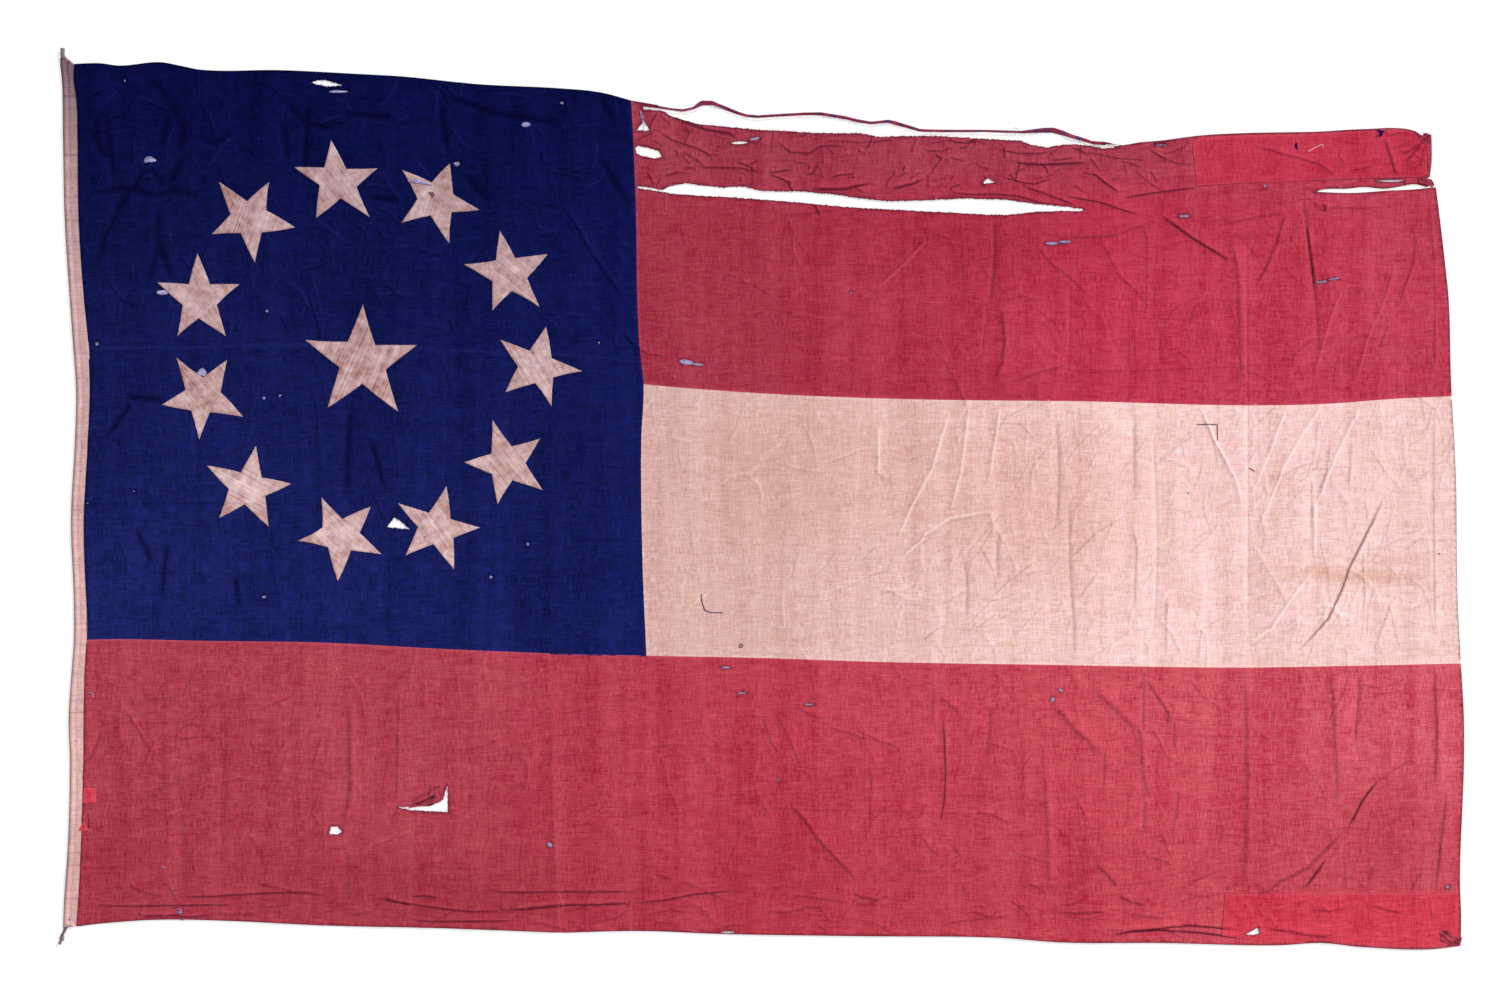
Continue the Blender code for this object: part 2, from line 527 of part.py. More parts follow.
def build_cord():
    tube("rope_end_top", STUB_ROUTE, STRAND)
    tube("rope_tail_bottom", TAIL_ROUTE, TAIL)
    place = Matrix.Translation((KNOT_CENTRE.fly * MM, KNOT_CENTRE.hoist * MM, KNOT / 2 * MM))
    bm = bmesh.new()
    bmesh.ops.create_uvsphere(bm, u_segments=12, v_segments=8, radius=KNOT / 2 * MM, matrix=place)
    mesh = bpy.data.meshes.new("rope_tail_knot")
    bm.to_mesh(mesh)
    bm.free()
    add_object("rope_tail_knot", mesh, CORD)


def build_mends():
    applique("patch_top_fly", FLY_TOP_PATCH, FRESH_RED)
    applique("patch_bottom_fly", FLY_FOOT_PATCH, FRESH_RED, list(FOOT_FLY_HOLES.values()))
    applique("patch_hoist_square", SQUARE_PATCH, RED)
    applique("patch_hoist_corner", CORNER_PATCH, RED, (), HEADING + GAP)


def build_stars():
    for name, corners in STARS.items():
        applique(name, corners[::-1], STAR_LINEN)


def centre_on_origin():
    """Moves every mesh so that the middle of the flag's box stands over the origin."""
    corners = [vert.co for obj in flag.objects for vert in obj.data.vertices]
    low = Vector([min(c[i] for c in corners) for i in range(3)])
    high = Vector([max(c[i] for c in corners) for i in range(3)])
    shift = Vector((-(low.x + high.x) / 2, -(low.y + high.y) / 2, -low.z))
    for obj in flag.objects:
        obj.data.transform(Matrix.Translation(shift))
    size = high - low
    print(f"flag {size.x:.4f} x {size.y:.4f} x {size.z:.4f} m, moved by {shift.x:.5f} {shift.y:.5f}")


for old in list(bpy.data.objects):
    bpy.data.objects.remove(old)
flag = bpy.data.collections.new("tattered_flag")
bpy.context.scene.collection.children.link(flag)
build_heading()
build_cord()
build_canton()
build_bars()
build_mends()
build_stars()
centre_on_origin()
print("triangles", sum(len(p.vertices) - 2 for obj in flag.objects for p in obj.data.polygons))
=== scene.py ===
# %% [markdown]
# # A tattered flag, laid out flat
# This notebook dresses the fixed frame of a 5 by 8 foot bunting flag. The frame gives every piece
# its place and outline. The looks are made here: thin sheets with their folds and tears, a weave
# in each kind of cloth, seams, mends, loose threads and the soiling of many years.
#
# Until a mesh is made, lengths are in millimetres along the fly and up the hoist, from the low
# corner of the flag. Then they become metres.

# %% Load the frame
import math
import random
from collections import namedtuple

import bmesh
import bpy
import numpy as np
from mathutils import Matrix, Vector, kdtree
from mathutils.bvhtree import BVHTree
from mathutils.geometry import delaunay_2d_cdt


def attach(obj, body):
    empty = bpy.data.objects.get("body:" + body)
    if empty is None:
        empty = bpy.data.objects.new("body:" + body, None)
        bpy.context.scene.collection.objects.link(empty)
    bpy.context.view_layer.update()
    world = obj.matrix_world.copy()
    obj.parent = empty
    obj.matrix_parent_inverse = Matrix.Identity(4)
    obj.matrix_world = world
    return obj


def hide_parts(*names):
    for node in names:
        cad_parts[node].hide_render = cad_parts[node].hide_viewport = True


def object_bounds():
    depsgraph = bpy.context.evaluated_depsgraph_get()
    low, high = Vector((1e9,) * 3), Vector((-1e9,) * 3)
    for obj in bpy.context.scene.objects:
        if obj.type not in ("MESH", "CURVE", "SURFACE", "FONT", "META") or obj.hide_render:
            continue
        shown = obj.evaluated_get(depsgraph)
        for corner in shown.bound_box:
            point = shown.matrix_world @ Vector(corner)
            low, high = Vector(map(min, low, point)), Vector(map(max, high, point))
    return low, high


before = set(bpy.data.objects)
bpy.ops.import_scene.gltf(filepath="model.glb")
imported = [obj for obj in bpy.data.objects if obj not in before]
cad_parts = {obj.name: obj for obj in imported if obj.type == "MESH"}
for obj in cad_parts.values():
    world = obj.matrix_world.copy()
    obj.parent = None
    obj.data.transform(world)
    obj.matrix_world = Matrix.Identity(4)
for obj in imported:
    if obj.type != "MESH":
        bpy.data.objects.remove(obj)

MM = 0.001
MARGIN = np.array((0.35, 0.15))  # the frame's box starts this far inside the flag's own marks
cad_low, cad_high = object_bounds()
CORNER = np.array((cad_low[0], cad_low[1])) - MARGIN * MM
print("frame", [round((h - l) / MM) for l, h in zip(cad_low, cad_high)], "mm")

# %% [markdown]
# ## Camera, floor and light
# The flag is seen face on, so the camera hangs straight above it, and a long lens keeps its edges
# square. One soft lamp comes in low from the upper fly corner, because only slanting light shows
# how a sheet lies. The floor is a pale board just under the cloth. It adds a little brightness for
# the camera alone, so that it reads as white while the cloth still casts a shadow on it.

# %% Camera
VIEW_WIDTH = 2.64
CAMERA_HEIGHT = 5.1
CAMERA_OVER = (-0.0187, -0.0029)  # the flag lies a little off the middle of the view
SENSOR = 36.0
camera_data = bpy.data.cameras.new("camera")
camera_data.sensor_width = SENSOR
camera_data.lens = SENSOR * CAMERA_HEIGHT / VIEW_WIDTH
camera = bpy.data.objects.new("camera", camera_data)
camera.location = (*CAMERA_OVER, CAMERA_HEIGHT)
bpy.context.scene.collection.objects.link(camera)
bpy.context.scene.camera = camera
bpy.context.scene.view_settings.view_transform = "Standard"
print("camera lens", round(camera_data.lens, 1), "mm")

# %% Light
WINDOW_SHARE = 0.50
WINDOW_RISE = math.radians(34)
WINDOW_TURN = math.radians(40)
WINDOW_WIDTH = math.radians(12)
TOWARD_WINDOW = np.array((math.cos(WINDOW_TURN), math.sin(WINDOW_TURN)))
window_data = bpy.data.lights.new("window", "SUN")
window_data.energy = WINDOW_SHARE * math.pi / math.sin(WINDOW_RISE)
window_data.angle = WINDOW_WIDTH
window = bpy.data.objects.new("window", window_data)
window.rotation_euler = (0, math.pi / 2 - WINDOW_RISE, WINDOW_TURN)
bpy.context.scene.collection.objects.link(window)
room = bpy.data.worlds.new("room")
room.use_nodes = True
room.node_tree.nodes["Background"].inputs["Color"].default_value = (1, 1, 1, 1)
room.node_tree.nodes["Background"].inputs["Strength"].default_value = 1 - WINDOW_SHARE
bpy.context.scene.world = room
print("window", round(window_data.energy, 2), "room", round(1 - WINDOW_SHARE, 2))

# %% Floor
BOARD = 0.38
BOARD_SEEN = 1.04  # just over white
BOARD_SIZE = 14
BOARD_DROP = 0.0004
bpy.ops.object.select_all(action="DESELECT")
bpy.ops.mesh.primitive_plane_add(size=BOARD_SIZE, location=(0, 0, -BOARD_DROP))
floor = bpy.context.object
floor.name = "floor"
board_mat = bpy.data.materials.new("floor_board")
board_mat.use_nodes = True
board = board_mat.node_tree.nodes["Principled BSDF"]
board.inputs["Base Color"].default_value = (BOARD, BOARD, BOARD, 1)
board.inputs["Roughness"].default_value = 0.9
board.inputs["Specular IOR Level"].default_value = 0.0
board.inputs["Emission Color"].default_value = (1, 1, 1, 1)
ray = board_mat.node_tree.nodes.new("ShaderNodeLightPath")
lift = board_mat.node_tree.nodes.new("ShaderNodeMath")
lift.operation = "MULTIPLY"
lift.inputs[1].default_value = BOARD_SEEN - BOARD
board_mat.node_tree.links.new(ray.outputs["Is Camera Ray"], lift.inputs[0])
board_mat.node_tree.links.new(lift.outputs[0], board.inputs["Emission Strength"])
floor.data.materials.append(board_mat)

# %% [markdown]
# ## Outlines from the frame
# Each piece of the frame already has the true outline of its cloth, with its tears. Its upper skin
# meets upright walls all round, so the rim between the two is read off as closed loops. Outlines
# drawn anew would drift from the frame, and these can't. A sewn edge bends smoothly, so its loop is
# drawn again as a smooth curve that keeps its sharp corners. A torn edge stays angular, and its
# broken threads make it waver.

# %% Ways and sides
def unit(ways):
    """Each row of a table of ways, made one long."""
    return ways / np.maximum(np.linalg.norm(ways, axis=1), 1e-6)[:, None]


def left_of(ways):
    return np.column_stack((-ways[:, 1], ways[:, 0]))


def beside(line):
    """A unit vector to the left of a line at each of its marks."""
    return left_of(unit(np.gradient(line, axis=0)))


def outward(ring):
    """A unit vector out of a ring at each of its points."""
    return -left_of(unit(np.roll(ring, -1, axis=0) - np.roll(ring, 1, axis=0)))


def turned(points, degrees):
    """How far each point lies along a lean, and how far across it."""
    lean = math.radians(degrees)
    x, y = points[:, 0], points[:, 1]
    return x * math.cos(lean) + y * math.sin(lean), y * math.cos(lean) - x * math.sin(lean)


# %% Read a piece's rim
FACES_UP = 0.2
UPRIGHT = 0.05


def ring_area(ring):
    x, y = ring[:, 0], ring[:, 1]
    return 0.5 * float(np.sum(x * np.roll(y, -1) - np.roll(x, -1) * y))


def rims(node):
    """Closed rings of (fly, hoist) round a piece's upper skin, the outer one first."""
    bm = bmesh.new()
    bm.from_mesh(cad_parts[node].data)
    bmesh.ops.remove_doubles(bm, verts=bm.verts[:], dist=1e-6)
    bm.verts.index_update()
    follow = {}
    for edge in bm.edges:
        tilts = sorted(abs(face.normal.z) for face in edge.link_faces)
        if len(tilts) == 2 and tilts[0] < UPRIGHT and max(f.normal.z for f in edge.link_faces) > FACES_UP:
            a, b = (vert.index for vert in edge.verts)
            follow.setdefault(a, []).append(b)
            follow.setdefault(b, []).append(a)
    places = np.array([vert.co[:2] for vert in bm.verts])
    bm.free()
    rings = []
    while follow:
        walk = [min(follow)]
        while walk[-1] in follow:
            onward = [v for v in follow.pop(walk[-1]) if v in follow]
            walk += onward[:1]
        ring = (places[walk] - CORNER) / MM
        rings.append(ring if ring_area(ring) > 0 else ring[::-1])
    return sorted(rings, key=lambda r: -ring_area(r))


print("top bar rings", [len(ring) for ring in rims("top_bar")])

# %% Draw a sewn edge smoothly
SHARP_TURN = math.radians(34)


def smooth_ring(ring, pitch=4.0):
    """The ring as a smooth curve with a point every few millimetres, sharp at its corners."""
    ahead = np.roll(ring, -1, axis=0) - ring
    reach = np.linalg.norm(ahead, axis=1)
    way = ahead / reach[:, None]
    before = np.roll(way, 1, axis=0)
    sharp = np.arccos(np.clip(np.sum(way * before, axis=1), -1, 1)) > SHARP_TURN
    mean = unit(way + before)
    points = []
    for i in range(len(ring)):
        j = (i + 1) % len(ring)
        leave = way[i] if sharp[i] else mean[i]
        arrive = way[i] if sharp[j] else mean[j]
        steps = max(1, round(reach[i] / pitch))
        s = (np.arange(steps) / steps)[:, None]
        points.append((2 * s**3 - 3 * s**2 + 1) * ring[i] + (s**3 - 2 * s**2 + s) * leave * reach[i]
                      + (3 * s**2 - 2 * s**3) * ring[j] + (s**3 - s**2) * arrive * reach[i])
    return np.vstack(points)


# %% Ravel a torn edge
def torn_ring(ring, seed, pitch=2.4, waver=0.5):
    """The ring in straight runs whose points waver as broken threads do."""
    chance = random.Random(seed)
    points = []
    for a, b in zip(ring, np.roll(ring, -1, axis=0)):
        length = np.linalg.norm(b - a)
        side = np.array((a[1] - b[1], b[0] - a[0])) / max(length, 1e-6)
        steps = max(1, round(length / pitch))
        for i in range(steps):
            out = 0.0 if i == 0 else max(-2 * waver, min(chance.gauss(0, waver), 2 * waver))
            points.append(a + (b - a) * i / steps + side * out)
    return np.array(points)


# %% Tell inside from outside, and near from far
def inside(points, ring):
    """True for each point that lies within a closed ring."""
    x, y = points[:, 0], points[:, 1]
    odd = np.zeros(len(points), bool)
    for (ax, ay), (bx, by) in zip(ring, np.roll(ring, -1, axis=0)):
        if ay != by:
            odd ^= ((ay > y) != (by > y)) & (x < ax + (bx - ax) * (y - ay) / (by - ay))
    return odd


def in_cloth(points, rings):
    """True for each point inside the first ring and in none of the holes, which are the others."""
    cloth = inside(points, rings[0])
    for hole in rings[1:]:
        cloth &= ~inside(points, hole)
    return cloth


def away_from(points, anchors):
    """Distance from each point to the nearest anchor."""
    tree = kdtree.KDTree(len(anchors))
    for i, (x, y) in enumerate(anchors):
        tree.insert((x, y, 0), i)
    tree.balance()
    return np.array([tree.find((x, y, 0))[2] for x, y in points])


# %% [markdown]
# ## How the cloth lies
# Each fold and crease is one row of a table: its kind, then the marks it runs through. The kind says
# how high it stands, how far it falls on its steep side, away from the window, and on its slow side,
# toward it, and how much painted shade and painted highlight its line holds. A pressed line is a
# groove: it has a negative height, and its painted shade lies on the other side. Smaller crumples are
# strewn between the rows at random. Under them all lies a slow swell with a fine pucker, made of
# waves that run in many directions. A cloth simulation would give folds too, but not the folds of
# this flag, so each one is set down where it lies.

# %% Kinds of crease
# dark and pale: how much painted shade and painted highlight the line of such a crease holds
Lay = namedtuple("Lay", "height steep slow dark pale")
SHARP = Lay(2.3, 3.2, 20, 1.0, 0.30)
PLAIN = Lay(1.4, 2.6, 12, 0.85, 0.22)
FINE = Lay(0.9, 2.0, 8, 0.62, 0.15)
TUCK = Lay(3.0, 6.0, 30, 0.50, 0.25)
FOLD = Lay(1.8, 4.0, 22, 0.52, 0.20)
LINE = Lay(1.0, 3.0, 14, 0.34, 0.12)
HAIR = Lay(0.6, 2.2, 9, 0.20, 0.08)
NICK = Lay(0.5, 1.8, 6, 0.24, 0.10)
WIDE = Lay(2.4, 11, 20, 0.34, 0.30)
ROUND = Lay(1.7, 6, 9, 0.16, 0.80)
SOFT = Lay(1.1, 7, 9, 0.06, 0.24)
GROOVE = Lay(-1.0, 5, 6, 0.24, 0.35)
VALLEY = Lay(-1.2, 8, 12, 0.38, 0.18)
TROUGH = Lay(-2.0, 10, 10, 0.46, 0.45)
BAND = Lay(-1.1, 17, 20, 0.72, 0.06)
DIP = Lay(-0.7, 16, 18, 0.20, 0.06)
print("a sharp fold stands", SHARP.height, "mm high")

# %% Creases of the top bar
TOP_BAR_CREASES = (
    # The crumpled hem strip above the long gap.
    (PLAIN, (1056, 1471), (1045, 1453), (1042, 1443)), (FINE, (1058, 1469), (1079, 1450)),
    (SHARP, (1059, 1476), (1104, 1455), (1139, 1442), (1181, 1435), (1200, 1423)),
    (FINE, (1104, 1448), (1112, 1435)),
    (PLAIN, (1059, 1437), (1082, 1423), (1125, 1409), (1148, 1397), (1153, 1384)),
    (FINE, (1049, 1423), (1065, 1411)), (FINE, (1012, 1420), (1028, 1428), (1049, 1437)),
    (FINE, (1088, 1409), (1091, 1391)), (FINE, (1098, 1397), (1114, 1379)),
    (FINE, (1112, 1372), (1119, 1377)), (PLAIN, (1126, 1376), (1170, 1375), (1204, 1374), (1234, 1365)),
    (FINE, (1214, 1379), (1232, 1388)), (PLAIN, (1252, 1365), (1290, 1372)),
    (PLAIN, (1253, 1363), (1290, 1349), (1288, 1340), (1299, 1333)), (FINE, (1192, 1351), (1190, 1344)),
    (FINE, (1200, 1360), (1204, 1347)), (PLAIN, (1315, 1362), (1329, 1365), (1341, 1381)),
    (FINE, (1341, 1376), (1346, 1354)), (FINE, (1343, 1413), (1348, 1379)),
    (PLAIN, (1265, 1423), (1288, 1402), (1322, 1400), (1342, 1413), (1389, 1413)),
    (SHARP, (1324, 1337), (1383, 1337), (1413, 1344), (1433, 1349)), (FINE, (1404, 1339), (1419, 1330)),
    (FINE, (1352, 1423), (1413, 1419), (1447, 1421)), (FINE, (1324, 1432), (1327, 1425)),
    (FINE, (1345, 1435), (1345, 1427)), (PLAIN, (1037, 1368), (1051, 1342)),
    (LINE, (1280, 1291), (1329, 1295), (1366, 1300), (1375, 1305)),
    (PLAIN, (1542, 1401), (1556, 1390), (1540, 1370)), (PLAIN, (1565, 1423), (1596, 1418), (1624, 1423)),
    (FINE, (1614, 1384), (1623, 1377), (1640, 1372)), (FINE, (1568, 1393), (1596, 1386)),
    (PLAIN, (1665, 1413), (1667, 1388)), (PLAIN, (1661, 1406), (1690, 1400), (1730, 1400), (1746, 1404)),
    (FINE, (1746, 1402), (1756, 1391)), (FINE, (1772, 1415), (1746, 1400)),
    (SHARP, (1681, 1387), (1705, 1381), (1758, 1381), (1813, 1384)), (FINE, (1800, 1413), (1799, 1387)),
    (FINE, (1816, 1393), (1832, 1372)), (PLAIN, (1818, 1369), (1847, 1346), (1869, 1330)),
    (FINE, (1668, 1358), (1705, 1376)), (FINE, (1663, 1357), (1677, 1353)),
    (SHARP, (1466, 1337), (1505, 1347), (1524, 1356)), (FINE, (1473, 1356), (1496, 1367)),
    (PLAIN, (1569, 1333), (1577, 1342), (1589, 1346)),
    (PLAIN, (1568, 1333), (1598, 1328), (1656, 1328), (1690, 1325), (1730, 1313), (1769, 1309)),
    (PLAIN, (1700, 1342), (1730, 1332), (1772, 1316), (1793, 1307)),
    (PLAIN, (1665, 1358), (1697, 1349), (1718, 1346), (1748, 1356)), (FINE, (1554, 1351), (1556, 1340)),
    (FINE, (1569, 1351), (1579, 1362)), (PLAIN, (1774, 1325), (1834, 1314), (1869, 1302), (1906, 1291)),
    (FINE, (1876, 1383), (1881, 1360)), (FINE, (1869, 1387), (1906, 1376)),
    (HAIR, (1624, 1282), (1637, 1288)),
    # The patch at the head of the fly, and the hem beside it.
    (PLAIN, (2105, 1413), (2179, 1393), (2219, 1381), (2237, 1369), (2251, 1356)),
    (FINE, (2269, 1369), (2312, 1376)), (FINE, (2253, 1398), (2265, 1379)),
    (SHARP, (2334, 1427), (2347, 1388), (2355, 1360)), (PLAIN, (2337, 1430), (2358, 1435), (2383, 1439)),
    (PLAIN, (2383, 1439), (2394, 1430), (2404, 1425)), (FINE, (2344, 1406), (2362, 1413), (2380, 1423)),
    (FINE, (2038, 1425), (2019, 1388)), (SHARP, (2402, 1421), (2385, 1409), (2364, 1397)),
    (SHARP, (2404, 1418), (2387, 1400), (2371, 1383)), (PLAIN, (2408, 1418), (2411, 1369)),
    (PLAIN, (2406, 1418), (2397, 1374)), (FINE, (1922, 1406), (1948, 1391)),
    (FINE, (1811, 1402), (1869, 1391), (1917, 1388)), (FINE, (1922, 1402), (1966, 1383), (1998, 1379)),
    (FINE, (1945, 1398), (1984, 1411), (1990, 1427)), (FINE, (1922, 1370), (1936, 1346)),
    # The long folds below the patch, and the lighter ones between them.
    (SHARP, (1940, 1291), (1966, 1273), (1996, 1251), (2031, 1230), (2063, 1210)),
    (SHARP, (2197, 1279), (2204, 1230), (2209, 1194), (2212, 1156)),
    (PLAIN, (1874, 1322), (1939, 1332), (2003, 1340)),
    (WIDE, (2064, 1251), (2073, 1226), (2079, 1186), (2081, 1142), (2083, 1089), (2085, 1032),
     (2086, 983)),
    (FOLD, (2161, 1296), (2145, 1240), (2138, 1226), (2130, 1203), (2117, 1182), (2107, 1164)),
    (TROUGH, (2189, 1323), (2195, 1279), (2199, 1238), (2201, 1208), (2207, 1168), (2212, 1124),
     (2215, 1080), (2212, 1041)), (HAIR, (2189, 1330), (2219, 1307), (2230, 1299)),
    (LINE, (2233, 1305), (2316, 1303)), (HAIR, (2218, 1171), (2211, 1142)),
    (HAIR, (2230, 1173), (2228, 1142)), (HAIR, (2246, 1175), (2253, 1145)),
    (LINE, (2390, 1214), (2360, 1143)), (LINE, (2355, 1200), (2337, 1143)),
    (HAIR, (1376, 1296), (1412, 1284), (1447, 1272)), (ROUND, (1528, 1247), (1491, 1208), (1443, 1164)),
    (HAIR, (1484, 1175), (1429, 1136)),
    (HAIR, (1311, 1228), (1338, 1208), (1420, 1203), (1482, 1200), (1552, 1198)),
    (HAIR, (1297, 1069), (1350, 1089), (1385, 1106)), (GROOVE, (1635, 1131), (1630, 1089), (1624, 1045)),
    (FOLD, (1660, 1126), (1667, 1071), (1662, 1031), (1649, 1001)),
    (HAIR, (1589, 1295), (1593, 1208), (1596, 1124)),
    (LINE, (2413, 1335), (2416, 1291), (2422, 1208), (2424, 1089), (2422, 974)),
    (TROUGH, (1644, 1293), (1646, 1230), (1642, 1173), (1635, 1131)),
    (SHARP, (2226, 1312), (2229, 1305), (2232, 1300)), (PLAIN, (2233, 1310), (2230, 1300), (2221, 1300)),
    (HAIR, (2066, 1263), (2086, 1247), (2110, 1219), (2119, 1198)), (GROOVE, (2207, 1194), (2216, 1089)),
    (ROUND, (2260, 1163), (2249, 1136), (2237, 1101), (2226, 1066), (2216, 1027), (2209, 992)),
    (ROUND, (2355, 1212), (2343, 1171), (2328, 1126), (2313, 1096), (2302, 1068), (2293, 1032),
     (2283, 992)), (LINE, (2378, 1288), (2390, 1247), (2385, 1205), (2358, 1126)),
    (GROOVE, (2337, 1098), (2321, 1050)), (HAIR, (2422, 1106), (2420, 1010)),
    (HAIR, (2249, 1050), (2274, 1068), (2295, 1085)), (HAIR, (2256, 1050), (2249, 1027), (2244, 987)),
    (LINE, (2172, 1022), (2175, 1043), (2207, 1071)), (HAIR, (2086, 1004), (2108, 1022)),
    (LINE, (1945, 1094), (1962, 1120), (1980, 1136)), (GROOVE, (1938, 1089), (1938, 1025)),
    (LINE, (1992, 1092), (1999, 1124), (2013, 1142)), (HAIR, (1968, 1054), (1992, 1036), (2001, 997)),
    (HAIR, (2036, 1089), (2047, 1045)), (HAIR, (1894, 1098), (1896, 1036), (1899, 992)),
    (GROOVE, (1781, 1182), (1779, 1036)),
    (LINE, (1834, 1252), (1846, 1226), (1869, 1182), (1896, 1159), (1922, 1127)),
    (LINE, (1904, 1279), (1917, 1252), (1917, 1194), (1915, 1106)),
    (LINE, (1764, 1251), (1843, 1254), (1869, 1259), (1922, 1279)),
    (LINE, (1716, 1247), (1746, 1208), (1781, 1182), (1808, 1156)),
    (LINE, (1681, 999), (1728, 1015), (1781, 1029)),
    (HAIR, (1781, 1018), (1887, 1017), (2010, 1022), (2168, 1029)),
    (LINE, (2049, 1274), (2098, 1286), (2160, 1296)), (HAIR, (1681, 1230), (1681, 1177)))
print(len(TOP_BAR_CREASES), "creases in the top bar")

# %% Creases of the white bar
WHITE_BAR_CREASES = (
    # The fold at the fly, and the soft ridges that lean toward it.
    (SHARP, (2332, 790), (2314, 751), (2290, 703), (2274, 672), (2260, 631), (2237, 582), (2211, 552),
     (2184, 524)), (ROUND, (2008, 955), (2035, 895), (2072, 825), (2086, 772)),
    (ROUND, (2161, 951), (2133, 878), (2107, 816)),
    (ROUND, (2223, 957), (2186, 900), (2158, 851), (2133, 790), (2112, 737)),
    (ROUND, (2292, 957), (2253, 878), (2230, 825), (2212, 781)),
    (LINE, (2240, 895), (2232, 834), (2218, 784)),
    (ROUND, (1568, 946), (1538, 846), (1501, 777), (1475, 717)),
    (ROUND, (1602, 951), (1589, 842), (1570, 768)), (ROUND, (1658, 957), (1637, 816)),
    (ROUND, (1482, 687), (1526, 726), (1570, 756), (1640, 768)),
    (HAIR, (1355, 628), (1387, 635), (1426, 656), (1478, 673)), (ROUND, (1443, 916), (1443, 834)),
    (HAIR, (1433, 846), (1456, 825)), (VALLEY, (1595, 684), (1598, 631), (1595, 578)),
    (VALLEY, (1651, 719), (1651, 649)), (LINE, (1522, 543), (1552, 568)),
    (LINE, (1644, 617), (1676, 649), (1720, 684)), (LINE, (1614, 564), (1649, 589)),
    (HAIR, (1676, 543), (1746, 614)), (HAIR, (1654, 592), (1660, 582), (1670, 585)),
    (LINE, (2207, 828), (2207, 737)), (ROUND, (2211, 790), (2211, 684)),
    (ROUND, (2209, 666), (2168, 614), (2133, 561), (2098, 534)),
    (LINE, (2348, 614), (2336, 578), (2316, 526)), (HAIR, (2341, 612), (2362, 527)),
    (HAIR, (2306, 886), (2334, 842), (2367, 804)), (LINE, (2277, 895), (2272, 807)),
    (LINE, (2422, 957), (2422, 754), (2424, 543)), (HAIR, (2295, 693), (2300, 631), (2295, 543)),
    (HAIR, (2348, 687), (2341, 614)), (HAIR, (2204, 543), (2230, 596), (2253, 640)),
    # Pressed lines that run up the bar.
    (VALLEY, (1756, 930), (1760, 842), (1756, 744)),
    (VALLEY, (1778, 790), (1779, 666), (1786, 561), (1785, 499)), (VALLEY, (1892, 948), (1892, 790)),
    (GROOVE, (1927, 913), (1934, 719), (1931, 614), (1927, 543)),
    (LINE, (1887, 754), (1899, 710), (1896, 596)), (LINE, (1952, 622), (1950, 513)),
    (HAIR, (1830, 874), (1790, 807)), (LINE, (1781, 684), (1834, 737), (1878, 763)),
    (LINE, (1795, 614), (1834, 666)), (HAIR, (1896, 568), (1800, 499)), (HAIR, (1957, 614), (1948, 578)),
    (GROOVE, (2091, 1309), (2093, 966), (2094, 517)))
print(len(WHITE_BAR_CREASES), "creases in the white bar")

